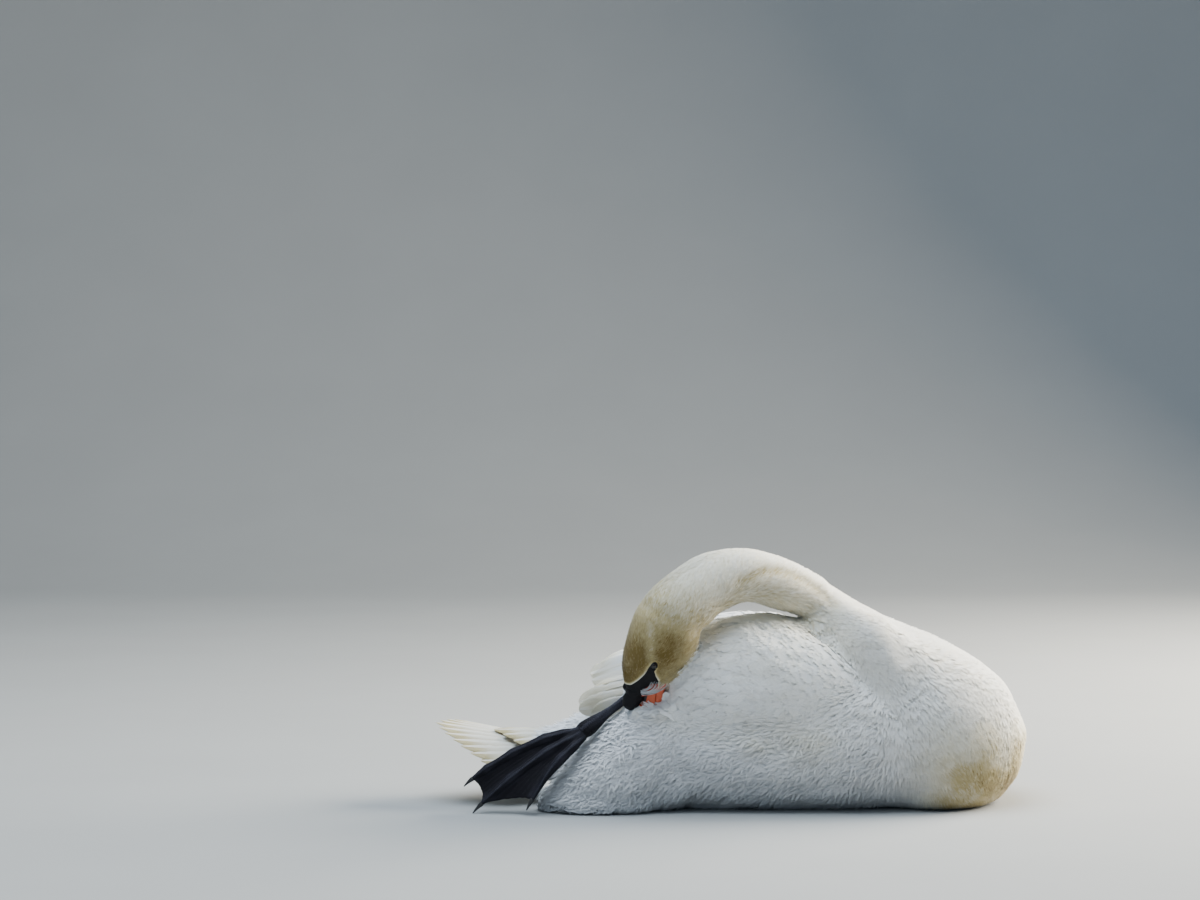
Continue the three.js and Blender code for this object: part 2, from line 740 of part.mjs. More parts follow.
const finishes = {
  plumage: { roughness: 0.85 },
  headPlumage: { roughness: 0.85 },
  flightFeather: { roughness: 0.6 },
  orangeBill: { roughness: 0.4 },
  blackSkin: { roughness: 0.55 },
  claw: { roughness: 0.35 },
  eye: { roughness: 0.05 },
};

const swan = new THREE.Group();
swan.position.copy(frameShift);
for (const [name, { body, material }] of build()) {
  const look = new THREE.MeshStandardMaterial({ color: colours[material], metalness: 0, ...finishes[material] });
  const mesh = new THREE.Mesh(geometryOf(body), look);
  mesh.name = name;
  swan.add(mesh);
}

export default swan;
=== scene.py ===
import heapq
import math

import bmesh
import bpy
import numpy as np
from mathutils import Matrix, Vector, noise
from mathutils.bvhtree import BVHTree
from mathutils.kdtree import KDTree


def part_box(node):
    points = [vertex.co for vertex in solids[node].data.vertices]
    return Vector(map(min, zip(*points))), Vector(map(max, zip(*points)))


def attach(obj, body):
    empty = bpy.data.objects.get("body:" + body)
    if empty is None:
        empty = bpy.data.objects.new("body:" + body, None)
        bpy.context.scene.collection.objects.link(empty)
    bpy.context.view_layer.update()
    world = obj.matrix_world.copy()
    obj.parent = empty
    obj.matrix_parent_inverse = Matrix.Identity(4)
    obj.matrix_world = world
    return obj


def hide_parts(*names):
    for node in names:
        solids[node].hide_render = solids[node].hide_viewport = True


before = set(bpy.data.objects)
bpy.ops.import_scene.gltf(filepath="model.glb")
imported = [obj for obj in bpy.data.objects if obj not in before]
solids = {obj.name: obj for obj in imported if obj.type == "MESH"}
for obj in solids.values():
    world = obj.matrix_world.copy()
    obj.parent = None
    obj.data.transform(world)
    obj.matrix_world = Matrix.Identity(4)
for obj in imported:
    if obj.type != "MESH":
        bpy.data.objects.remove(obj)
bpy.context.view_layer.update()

# Lengths in the settings are millimetres, in the frame's axes: +X to the breast, -Y to the swan's right.
mm = 0.001
dice = np.random.default_rng(11)


def unit(rows):
    rows = np.asarray(rows, float)
    return rows / np.maximum(np.linalg.norm(rows, axis=-1, keepdims=True), 1e-9)


def smoothStep(low, high, x):
    t = np.clip((np.asarray(x, float) - low) / (high - low), 0, 1)
    return t * t * (3 - 2 * t)


def dot(a, b):
    return (a * b).sum(-1)


def lengthOf(rows):
    return np.linalg.norm(rows, axis=1)


def bell(x):
    # 1 at nought, falling off softly to either side
    return np.exp(-x ** 2)


def placed(name, data):
    # an object at the origin, in the scene
    made = bpy.data.objects.new(name, data)
    bpy.context.scene.collection.objects.link(made)
    return made


def finalMesh(piece):
    # what a piece's modifiers make of it; the piece itself is removed
    bpy.context.view_layer.update()
    found = bpy.data.meshes.new_from_object(piece.evaluated_get(bpy.context.evaluated_depsgraph_get()))
    bpy.data.objects.remove(piece)
    return found


def middleOf(node):
    low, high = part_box(node)
    return np.array((low + high) / 2)


# the head's own axes: front to the bill, up to the crown, side to the swan's left cheek
headPose = {"faceLean": 15.5, "crownTurn": 20, "billInwards": 8}

lean, turn, inwards = (math.radians(headPose[key]) for key in ("faceLean", "crownTurn", "billInwards"))
downFace = np.array([-math.sin(lean), 0, -math.cos(lean)])
crownWay = np.array([-math.cos(lean), 0, math.sin(lean)])
headUp = crownWay * math.cos(turn) + np.array([0, -1, 0]) * math.sin(turn)
cheekWay = np.cross(headUp, downFace)
headFront = downFace * math.cos(inwards) - cheekWay * math.sin(inwards)
headSide = np.cross(headUp, headFront)
eyeMiddles = {"left": middleOf("eye_left"), "right": middleOf("eye_right")}
headMiddle = (eyeMiddles["left"] + eyeMiddles["right"]) / 2


def inHead(points):
    # millimetres to the front, up and to the left of the point midway between the eyes
    away = (np.asarray(points) - headMiddle) / mm
    return np.stack([away @ headFront, away @ headUp, away @ headSide], -1)


def polygonDepth(corners, x, y):
    # how far inside a closed outline each point lies, negative outside it
    corners = np.asarray(corners, float)
    inside = np.zeros(len(x), bool)
    nearest = np.full(len(x), 1e9)
    for a, b in zip(corners, np.roll(corners, -1, 0)):
        wide, tall = b - a
        along = np.clip(((x - a[0]) * wide + (y - a[1]) * tall) / ((b - a) @ (b - a)), 0, 1)
        nearest = np.minimum(nearest, np.hypot(x - a[0] - along * wide, y - a[1] - along * tall))
        crosses = (a[1] > y) != (b[1] > y)
        with np.errstate(divide="ignore", invalid="ignore"):
            inside ^= crosses & (x < a[0] + (y - a[1]) / tall * wide)
    return np.where(inside, nearest, -nearest)


def lineDistance(points, line):
    # distance in millimetres from each point to a line of straight stretches, and the share of the line there
    points = np.asarray(points) / mm
    line = np.asarray(line, float)
    best, share = np.full(len(points), 1e9), np.zeros(len(points))
    for i, (a, b) in enumerate(zip(line[:-1], line[1:])):
        along = np.clip(((points - a) @ (b - a)) / ((b - a) @ (b - a)), 0, 1)
        away = lengthOf(points - a - along[:, None] * (b - a))
        nearer = away < best
        best[nearer] = away[nearer]
        share[nearer] = (i + along[nearer]) / (len(line) - 1)
    return best, share


def cloud(points, size, seed=0.0):
    # a smooth random field from -1 to 1 whose lumps are about size millimetres wide
    scaled = np.asarray(points) / (size * mm) + seed
    return np.array([noise.noise(row) for row in scaled.tolist()])


# shader maths
class Value:
    # a shader socket that sums, scales and compares as a number does
    def __init__(self, finish, socket):
        self.finish = finish
        self.socket = socket

    def maths(self, operation, first, second=None, clamp=False):
        inputs = {0: first} if second is None else {0: first, 1: second}
        return self.finish.add("Math", {"operation": operation, "use_clamp": clamp}, inputs)

    def __add__(self, other):
        return self.maths("ADD", self, other)

    __radd__ = __add__

    def __sub__(self, other):
        return self.maths("SUBTRACT", self, other)

    def __rsub__(self, other):
        return self.maths("SUBTRACT", other, self)

    def __mul__(self, other):
        return self.maths("MULTIPLY", self, other)

    __rmul__ = __mul__

    def sine(self):
        return self.maths("SINE", self)

    def clamped(self):
        return self.maths("ADD", self, 0, clamp=True)

    def between(self, low, high):
        return self.finish.add("MapRange", {"interpolation_type": "SMOOTHSTEP"},
                               {"Value": self, "From Min": low, "From Max": high})


class Finish:
    # a material and the nodes it is made of
    def __init__(self, name, **constants):
        self.material = bpy.data.materials.new(name)
        self.material.use_nodes = True
        self.tree = self.material.node_tree
        self.tree.nodes.clear()
        self.output = self.tree.nodes.new("ShaderNodeOutputMaterial")
        self.shader = self.tree.nodes.new("ShaderNodeBsdfPrincipled")
        self.tree.links.new(self.shader.outputs[0], self.output.inputs[0])
        self.constants(**constants)

    def constants(self, **values):
        for key, value in values.items():
            self.shader.inputs[key.replace("_", " ")].default_value = value

    def add(self, kind, settings=None, inputs=None, output=0):
        node = self.tree.nodes.new("ShaderNode" + kind)
        for key, value in (settings or {}).items():
            if key == "stops":
                for place, colour in value:
                    known = [e for e in node.color_ramp.elements if e.position == place]
                    stop = known[0] if known else node.color_ramp.elements.new(place)
                    stop.color = (*colour, 1)
            else:
                setattr(node, key, value)
        for key, value in (inputs or {}).items():
            self.feed(node.inputs[key], value)
        return Value(self, node.outputs[output])

    def feed(self, socket, value):
        if isinstance(value, Value):
            self.tree.links.new(value.socket, socket)
        elif hasattr(value, "__len__") and len(value) == 3 and socket.type == "RGBA":
            socket.default_value = (*value, 1)
        else:
            socket.default_value = value

    def drive(self, **inputs):
        for key, value in inputs.items():
            self.feed(self.shader.inputs[key.replace("_", " ")], value)

    def mix(self, share, first, second):
        return self.add("Mix", {"data_type": "RGBA"}, {0: share, 6: first, 7: second}, output=2)

    def attribute(self, name):
        return self.add("Attribute", {"attribute_name": name}, output=2)

    def place(self):
        return self.add("TexCoord", output=3)

    def noise(self, scale, detail=3, roughness=0.55):
        return self.add("TexNoise", None, {"Vector": self.place(), "Scale": scale,
                                           "Detail": detail, "Roughness": roughness})

    def cells(self, scale):
        inputs = {"Vector": self.place(), "Scale": scale}
        return self.add("TexVoronoi", {"feature": "DISTANCE_TO_EDGE"}, inputs)

    def bump(self, height, distance, strength=1.0, under=None):
        inputs = {"Height": height, "Distance": distance, "Strength": strength}
        if under:
            inputs["Normal"] = under
        return self.add("Bump", None, inputs)


colours = {  # linear; two of a kind are the ends of a mottled one
    "white": (0.88, 0.885, 0.89),
    "cream": (0.84, 0.79, 0.64),
    "ochre": (0.52, 0.42, 0.20),
    "deepOchre": (0.22, 0.145, 0.035),
    "tone": [(0.60, 0.60, 0.60), (1.0, 1.0, 1.0)],
    "shaft": (0.80, 0.74, 0.60),
    "blackSkin": [(0.003, 0.0028, 0.0035), (0.009, 0.008, 0.010)],
    "orangeSkin": (0.54, 0.075, 0.02),
    "orangeBill": [(0.50, 0.062, 0.016), (0.64, 0.12, 0.038)],
    "blackBill": (0.012, 0.010, 0.011),
    "leg": [(0.0025, 0.0022, 0.0032), (0.0085, 0.0068, 0.0105)],
    # painted sky sheen on the shank and painted highlight on the toe ridges, with some wear
    "wornLeg": (0.088, 0.088, 0.120),
    "claw": [(0.007, 0.007, 0.008), (0.030, 0.027, 0.026)],
    "iris": [(0.008, 0.004, 0.002), (0.022, 0.010, 0.005)],
    "pupil": (0.0015, 0.0015, 0.0015),
    "eyeRim": (0.003, 0.0025, 0.0025),
}


def stainAndShadeRamp(finish, patchy):
    # white feather through cream and ochre to brown, as iron-rich mud stains it; the same ramp also paints
    # shade in the creases, low on the breast and on the tail
    stain = finish.attribute("stain") * patchy
    stops = [(0.0, colours["white"]), (1.0, colours["deepOchre"]), (0.26, colours["cream"]),
             (0.62, colours["ochre"])]
    return finish.add("ValToRGB", {"stops": stops}, {"Fac": stain.clamped()})


def makePlumage():
    finish = Finish("plumage", Roughness=0.72, Sheen_Weight=0.12, Specular_IOR_Level=0.25)
    finish.constants(Subsurface_Weight=0.22, Subsurface_Scale=0.004, Subsurface_Radius=(1.0, 0.9, 0.8))
    # each feather's random tone, with painted shade added to it
    tone = finish.mix(finish.attribute("tone"), *colours["tone"])
    base = finish.add("Mix", {"data_type": "RGBA", "blend_type": "MULTIPLY"},
                      {0: 1.0, 6: stainAndShadeRamp(finish, 0.72 + 0.56 * finish.noise(55, 4)), 7: tone}, output=2)
    barbs = (finish.attribute("along") * 46 + finish.attribute("across") * 9).sine()
    fine = finish.noise(900, 2)
    finish.drive(Base_Color=base, Roughness=0.66 + 0.14 * fine,
                 Normal=finish.bump(barbs * 0.5 + fine, 0.00025, 0.35))
    return finish.material


def makeSkin():
    finish = Finish("skin", Roughness=0.7, Specular_IOR_Level=0.2)
    feathered = stainAndShadeRamp(finish, 0.72 + 0.56 * finish.noise(55, 4))
    bare = finish.attribute("bare").between(0.42, 0.58)
    black = finish.mix(finish.noise(220), *colours["blackSkin"])
    bareSkin = finish.mix(finish.attribute("orange").between(0.3, 0.7), black, colours["orangeSkin"])
    wrinkles = finish.noise(420, 4, 0.6)
    finish.drive(Base_Color=finish.mix(bare, feathered, bareSkin),
                 Roughness=finish.add("Mix", None, {0: bare, 2: 0.8, 3: 0.5 + 0.2 * wrinkles}),
                 Normal=finish.bump(finish.cells(1100) * 0.5 + wrinkles, 0.0006, 0.5))
    return finish.material


def makeFlight():
    finish = Finish("flight_feathers", Roughness=0.55, Sheen_Weight=0.1, Specular_IOR_Level=0.35)
    finish.constants(Subsurface_Weight=0.5, Subsurface_Scale=0.006, Subsurface_Radius=(1.0, 0.85, 0.62))
    vane = stainAndShadeRamp(finish, 0.8 + 0.4 * finish.noise(40, 4))
    shaft = finish.attribute("shaft").between(0.3, 0.7)
    barbs = (finish.attribute("along") * 420 + finish.attribute("across") * 90).sine()
    finish.drive(Base_Color=finish.mix(shaft, vane, colours["shaft"]),
                 Roughness=0.5 + 0.15 * finish.noise(300),
                 Normal=finish.bump(barbs * (1 - shaft), 0.0003, 0.5))
    return finish.material


def makeBill():
    finish = Finish("orange_bill", Roughness=0.35, Specular_IOR_Level=0.5)
    mottle = finish.noise(160, 5, 0.6)
    orange = finish.mix(mottle, *colours["orangeBill"])
    black = finish.attribute("black").between(0.4, 0.6)
    finish.drive(Base_Color=finish.mix(black, orange, colours["blackBill"]),
                 Roughness=0.30 + 0.22 * mottle,
                 Normal=finish.bump(finish.noise(700, 3), 0.0004, 0.4))
    return finish.material


def makeBlackSkin():
    finish = Finish("black_skin", Roughness=0.5, Specular_IOR_Level=0.2)
    mottle = finish.noise(260, 5, 0.6)
    finish.drive(Base_Color=finish.mix(mottle, *colours["blackSkin"]),
                 Roughness=0.44 + 0.24 * mottle,
                 Normal=finish.bump(finish.cells(900) + mottle, 0.0005, 0.5))
    return finish.material


def makeLegSkin():
    finish = Finish("leg_skin", Roughness=0.45, Specular_IOR_Level=0.14)
    mottle = finish.noise(90, 5, 0.6)
    black = finish.mix(mottle, *colours["leg"])
    folds = finish.bump(finish.noise(150, 4), 0.0012, 0.35)
    # painted sheen along the top of the shank and painted highlight on the toe ridges, with some wear, mixed
    # into the black
    finish.drive(Base_Color=finish.mix(finish.attribute("worn") * 0.5, black, colours["wornLeg"]),
                 Roughness=0.40 + 0.22 * mottle,
                 Normal=finish.bump(finish.cells(620).between(0.0, 0.22), 0.0005, 0.6, under=folds))
    return finish.material


def makeClaw():
    finish = Finish("claw", Roughness=0.3, Specular_IOR_Level=0.5)
    streak = finish.noise(300, 4)
    finish.drive(Base_Color=finish.mix(streak, *colours["claw"]),
                 Roughness=0.26 + 0.2 * streak, Normal=finish.bump(streak, 0.0003, 0.4))
    return finish.material


def makeEye():
    finish = Finish("eye", Roughness=0.08, Specular_IOR_Level=0.35, Coat_Weight=0.4, Coat_Roughness=0.02)
    radius = finish.attribute("along")
    iris = finish.mix(finish.noise(1500, 4), *colours["iris"])
    middle = finish.mix(radius.between(0.40, 0.44), colours["pupil"], iris)
    finish.drive(Base_Color=finish.mix(radius.between(0.66, 0.74), middle, colours["eyeRim"]),
                 Roughness=0.06 + 0.06 * finish.noise(500))
    return finish.material


materials = {
    "plumage": makePlumage(),
    "skin": makeSkin(),
    "flight": makeFlight(),
    "bill": makeBill(),
    "blackSkin": makeBlackSkin(),
    "leg": makeLegSkin(),
    "claw": makeClaw(),
    "eye": makeEye(),
}
print("materials made")


# meshes from arrays
def meshPiece(name, points, faces, material, attributes=None, uv=None, sharp=None, lean=None):
    # faces is a list of (count, corners) index arrays; uv is one row for each point
    # lean gives, for each point, the way its upper faces' shading leans, and how far for each face
    mesh = bpy.data.meshes.new(name)
    corners = np.concatenate([np.asarray(f).ravel() for f in faces]).astype(np.int32)
    sizes = np.concatenate([np.full(len(f), np.asarray(f).shape[1]) for f in faces]).astype(np.int32)
    mesh.vertices.add(len(points))
    mesh.vertices.foreach_set("co", np.asarray(points, np.float32).ravel())
    mesh.loops.add(len(corners))
    mesh.loops.foreach_set("vertex_index", corners)
    mesh.polygons.add(len(sizes))
    mesh.polygons.foreach_set("loop_start", np.concatenate([[0], np.cumsum(sizes)[:-1]]).astype(np.int32))
    mesh.update(calc_edges=True)
    mesh.polygons.foreach_set("use_smooth", np.ones(len(sizes), bool))
    for key, values in (attributes or {}).items():
        mesh.attributes.new(key, "FLOAT", "POINT").data.foreach_set("value", np.asarray(values, np.float32))
    if uv is not None:
        layer = mesh.uv_layers.new(name="OFBake")
        layer.uv.foreach_set("vector", np.asarray(uv, np.float32)[corners].ravel())
    if sharp is not None:
        size, pairs = sharp
        ends = np.zeros(len(mesh.edges) * 2, np.int32)
        mesh.edges.foreach_get("vertices", ends)
        local = ends.reshape(-1, 2) % size
        table = np.zeros((size, size), bool)
        for a, b in pairs:
            table[a, b] = table[b, a] = True
        hard = mesh.attributes.new("sharp_edge", "BOOLEAN", "EDGE")
        hard.data.foreach_set("value", table[local[:, 0], local[:, 1]])
    mesh.materials.append(materials[material])
    mesh.validate()
    if lean is not None:
        ways, shares = lean
        normals = np.zeros(len(corners) * 3)
        mesh.corner_normals.foreach_get("vector", normals)
        much = np.repeat(shares, sizes)[:, None]
        blended = unit(normals.reshape(-1, 3) * (1 - much) + ways[corners] * much)
        mesh.normals_split_custom_set(blended.tolist())
    piece = placed(name, mesh)
    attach(piece, "root")
    return piece


def trianglesOf(piece):
    piece.data.calc_loop_triangles()
    return len(piece.data.loop_triangles)


# camera, lights and floor
studio = {
    "camera": (-183.6, -4628.9, 711.8),
    "lookDown": 2.748,  # degrees
    "lens": 100,
    "sensor": 36,
    "target": (0, 0, 150),  # of the lights
    "key": {"place": (2500, 1200, 1350), "size": 2300, "power": 500, "colour": (1.0, 0.93, 0.80)},
    "sky": {"place": (-200, -300, 3300), "size": 3200, "power": 225, "colour": (0.80, 0.90, 1.0)},
    "front": {"place": (-1400, -2600, 1900), "size": 2200, "power": 12, "colour": (0.80, 0.90, 1.0)},
    "world": {"Color": (0.54, 0.75, 1.0, 1), "Strength": 0.38},
    "floorColour": (0.31, 0.315, 0.31),
    "floor": {"wide": 9.0, "front": -7.0, "bend": 3.2, "radius": 2.2, "top": 4.5, "steps": 24},  # metres
}


def makeCamera():
    data = bpy.data.cameras.new("camera")
    data.lens = studio["lens"]
    data.sensor_width = studio["sensor"]
    camera = placed("camera", data)
    camera.location = Vector(studio["camera"]) * mm
    camera.rotation_euler = (math.radians(90 - studio["lookDown"]), 0, 0)
    bpy.context.scene.camera = camera


def makeLight(name):
    light = studio[name]
    data = bpy.data.lights.new(name, "AREA")
    data.shape = "DISK"
    data.size = light["size"] * mm
    data.energy = light["power"]
    data.color = light["colour"]
    lamp = placed(name, data)
    lamp.location = Vector(light["place"]) * mm
    way = Vector(studio["target"]) - Vector(light["place"])
    lamp.rotation_euler = way.to_track_quat("-Z", "Y").to_euler()


def makeFloor():
    # runs back and turns up into a plain backdrop
    shape = studio["floor"]
    bend, radius, steps = shape["bend"], shape["radius"], shape["steps"]
    outline = [(shape["front"], 0.0), (bend, 0.0)]
    for i in range(1, steps + 1):
        angle = math.pi / 2 * i / steps
        outline.append((bend + radius * math.sin(angle), radius * (1 - math.cos(angle))))
    outline.append((bend + radius, shape["top"] + radius))
    points = [(x, y, z) for y, z in outline for x in (-shape["wide"], shape["wide"])]
    faces = [(2 * i, 2 * i + 1, 2 * i + 3, 2 * i + 2) for i in range(len(outline) - 1)]
    mesh = bpy.data.meshes.new("floor")
    mesh.from_pydata(points, [], faces)
    mesh.polygons.foreach_set("use_smooth", [True] * len(faces))
    finish = Finish("floor", Roughness=0.9, Specular_IOR_Level=0.2)
    duller, paler = (tuple(share * c for c in studio["floorColour"]) for share in (0.95, 1.05))
    finish.drive(Base_Color=finish.mix(finish.noise(3, 4), duller, paler))
    mesh.materials.append(finish.material)
    floor = placed("floor", mesh)


def makeWorld():
    world = bpy.data.worlds.new("studio")
    world.use_nodes = True
    for key, value in studio["world"].items():
        world.node_tree.nodes["Background"].inputs[key].default_value = value
    bpy.context.scene.world = world


makeCamera()
makeWorld()
for light in ("key", "sky", "front"):
    makeLight(light)
makeFloor()
print("camera, lights and floor made")


# the skin
skinSettings = {
    "cell": 3.78,
    "swell": 0.55,       # closes the thin cuts between the solids
    "rounds": 6,         # of smoothing
    "rounderBreast": 45,  # more of them on the breast and the neck's root
    # where the breast's feathers meet the flank's
    "breastBorder": {"at": 212, "wander": 26, "size": 34, "behind": 150},
    "pads": [  # soft fillings: tail's root, twice between the folded wings, before the thigh, under the bill
        {"middle": (-254, 9, 72), "size": (48, 52, 19), "square": 2},
        {"middle": (40, -10, 190), "size": (112, 96, 75), "square": 4},
        {"middle": (-70, 0, 140), "size": (120, 70, 62), "square": 4},
        {"middle": (-95, -88, 46), "size": (66, 44, 44), "square": 2},
        {"middle": (-112, -113, 136), "size": (36, 25, 18), "square": 2},
    ],
    # the root of the neck rolls out over the front of the folded wing: middles and radii of balls
    "neckRoll": [(101, -58, 246, 13), (118, -56, 247, 20), (136, -52, 250, 26), (153, -50, 252, 31),
                 (169, -60, 239, 36), (184, -71, 226, 41), (198, -77, 208, 40), (211, -82, 189, 39),
                 (228, -86, 169, 37), (245, -88, 150, 34), (194, -52, 232, 36), (221, -62, 208, 38),
                 (245, -70, 185, 40), (262, -74, 160, 42)],
    # the feathered end of the thigh, round the top of the stretched shank
    "heel": [(-133, -80, 158, 17), (-140, -83, 157, 15), (-145, -84, 155, 12)],
    "underside": 4.5,    # how far the skin stays above the floor, for the feathers it sits on
}
flesh = ["head", "neck_upper", "neck_middle", "neck_lower", "neck_base", "breast", "trunk",
         "wing_right", "wing_left", "thigh_right", "thigh_left"]
groupOf = {name: 0 if name in flesh[:4] else 1 for name in flesh}
# depth is how far the skin lies under the coat's outline; lengths and widths are of one feather
coats = {
    "head":        {"depth": 1.6, "length": 7.5, "width": 1.7},
    "neck_upper":  {"depth": 2.2, "length": 10, "width": 2.0},
    "neck_middle": {"depth": 2.6, "length": 12, "width": 2.2},
    "neck_lower":  {"depth": 3.2, "length": 14, "width": 2.6},
    "neck_base":   {"depth": 4.0, "length": 18, "width": 8},
    "breast":      {"depth": 5.5, "length": 24, "width": 12},
    "trunk":       {"depth": 7.0, "length": 32, "width": 16},
    "wing_right":  {"depth": 6.0, "length": 34, "width": 18},
    "wing_left":   {"depth": 6.0, "length": 34, "width": 18},
    "thigh_right": {"depth": 7.0, "length": 28, "width": 13},
    "thigh_left":  {"depth": 7.0, "length": 28, "width": 13},
}
# where the regions of the body begin and end, along it or above the floor, and the bill begins on the head
regions = {"shoulder": 150, "tail": -180, "flankTop": (150, 95), "flankFront": (250, 190),
           "rump": (-150, -250), "bill": 44}
# outline of the bare black skin between eye, forehead knob and gape, in millimetres to the front and up
lore = [(-3, 4.5), (3, 6.5), (14, 7), (25, 10.5), (37, 16), (42, 23), (44, 32), (46, 45), (82, 45), (82, -42),
        (50, -42), (40, -26), (30, -20), (20, -16), (14, -9), (7, -3.5), (0, -3.5)]
gape = [(27, -8), (37, -1.5), (50, -5), (82, -9), (82, -42), (40, -42), (22, -24)]  # orange, as the bill is
# soft lines pressed into the plumage (negative) or raised in it: height, half width, and the way they run
creases = {
    "neckFurrow": (-2.6, 7, [(-14, -136, 309), (13, -131, 320), (40, -116, 331), (62, -104, 331),
                             (90, -88, 319), (118, -71, 301), (161, -52, 257)]),
    "leftWing": (-9.0, 30, [(-60, 72, 240), (0, 72, 254), (50, 72, 257), (120, 68, 246)]),
    "neckRoot": (-8.0, 6, [(96, -72, 258), (113, -84, 242), (140, -99, 226), (158, -108, 207),
                           (176, -115, 177), (198, -120, 154), (220, -126, 133), (248, -133, 98)]),
    "rightWing": (8.0, 24, [(-70, -64, 236), (-20, -66, 250), (20, -66, 256), (60, -66, 255),
                            (95, -62, 244), (130, -58, 230)]),
    "backFurrow": (-7.0, 28, [(-50, 12, 240), (0, 12, 252), (30, 12, 257), (70, 12, 256), (110, 12, 244)]),
    "shoulder": (3.5, 18, [(-20, -80, 262), (2, -98, 255), (20, -118, 244), (38, -132, 230),
                           (66, -146, 200)]),
    "underShoulder": (-2.5, 18, [(30, -98, 256), (48, -116, 244), (72, -132, 224), (100, -142, 195)]),
    "valley": (-7.0, 16, [(-90, -142, 140), (-30, -150, 118), (40, -152, 100), (110, -150, 96)]),
}


def joinedCopies(names, swell):
    # the solids' own shapes, each a little swollen, in one mesh
    together = bmesh.new()
    for name in names:
        made = bmesh.new()
        made.from_mesh(solids[name].data)
        bmesh.ops.remove_doubles(made, verts=made.verts, dist=0.02 * mm)
        made.normal_update()
        for vertex in made.verts:
            vertex.co += vertex.normal * swell * mm
        scratch = bpy.data.meshes.new("scratch")
        made.to_mesh(scratch)
        made.free()
        together.from_mesh(scratch)
        bpy.data.meshes.remove(scratch)
    return together


def remeshed(together, cell):
    mesh = bpy.data.meshes.new("scratch")
    together.to_mesh(mesh)
    together.free()
    piece = placed("scratch", mesh)
    remesh = piece.modifiers.new("remesh", "REMESH")
    remesh.mode = "VOXEL"
    remesh.voxel_size = cell * mm
    found = finalMesh(piece)
    bpy.data.meshes.remove(mesh)
    return found


def addBalls(together, balls):
    # rows of a middle and a radius
    for x, y, z, radius in balls:
        for vertex in bmesh.ops.create_uvsphere(together, u_segments=24, v_segments=16, radius=1)["verts"]:
            vertex.co = (Vector((x, y, z)) + float(radius) * vertex.co) * mm


def fusedFlesh():
    # the flesh solids in one closed surface, before it is drawn in by the coat's depth
    together = joinedCopies(flesh, skinSettings["swell"])
    for pad in skinSettings["pads"]:
        for vertex in bmesh.ops.create_uvsphere(together, u_segments=40, v_segments=24, radius=1)["verts"]:
            x, y, z = vertex.co
            squared = (y ** pad["square"] + z ** pad["square"]) ** (1 / pad["square"])
            wider = math.hypot(y, z) / squared if squared > 1e-6 else 1
            vertex.co = Vector([(m + s * c) * mm for m, s, c in
                                zip(pad["middle"], pad["size"], (x, y * wider, z * wider))])
    addBalls(together, skinSettings["neckRoll"] + skinSettings["heel"])
    return remeshed(together, skinSettings["cell"])


def largestPart(mesh):
    # drops the closed pockets between the solids, which the remesh keeps as inner shells
    made = bmesh.new()
    made.from_mesh(mesh)
    left, parts = set(made.verts), []
    while left:
        start = left.pop()
        part, queue = [start], [start]
        while queue:
            for edge in queue.pop().link_edges:
                for vertex in edge.verts:
                    if vertex in left:
                        left.discard(vertex)
                        part.append(vertex)
                        queue.append(vertex)
        parts.append(part)
    parts.sort(key=len)
    bmesh.ops.delete(made, geom=[vertex for part in parts[:-1] for vertex in part])
    made.to_mesh(mesh)
    made.free()
    return mesh


def refineNear(mesh, near, rounds):
    # splits the faces whose middle is near, for the lids and the edge of the bare skin
    made = bmesh.new()
    made.from_mesh(mesh)
    for step in range(rounds):
        middles = np.array([face.calc_center_median() for face in made.faces])
        chosen = near(middles, step)
        edges = {edge for face, wanted in zip(made.faces, chosen) if wanted for edge in face.edges}
        bmesh.ops.subdivide_edges(made, edges=list(edges), cuts=1, use_grid_fill=True)
    bmesh.ops.triangulate(made, faces=[face for face in made.faces if len(face.verts) > 4])
    made.to_mesh(mesh)
    made.free()
    return mesh


def nearFace(points, step):
    found = np.zeros(len(points), bool)
    place = inHead(points)
    if step < 2:
        depth = polygonDepth(lore, place[:, 0], place[:, 1])
        found |= (depth > -5) & (np.abs(place[:, 2]) < 45) & (place[:, 0] > -12)
    for middle in eyeMiddles.values():
        found |= lengthOf(points - middle) < (16 - 3 * step) * mm
    return found


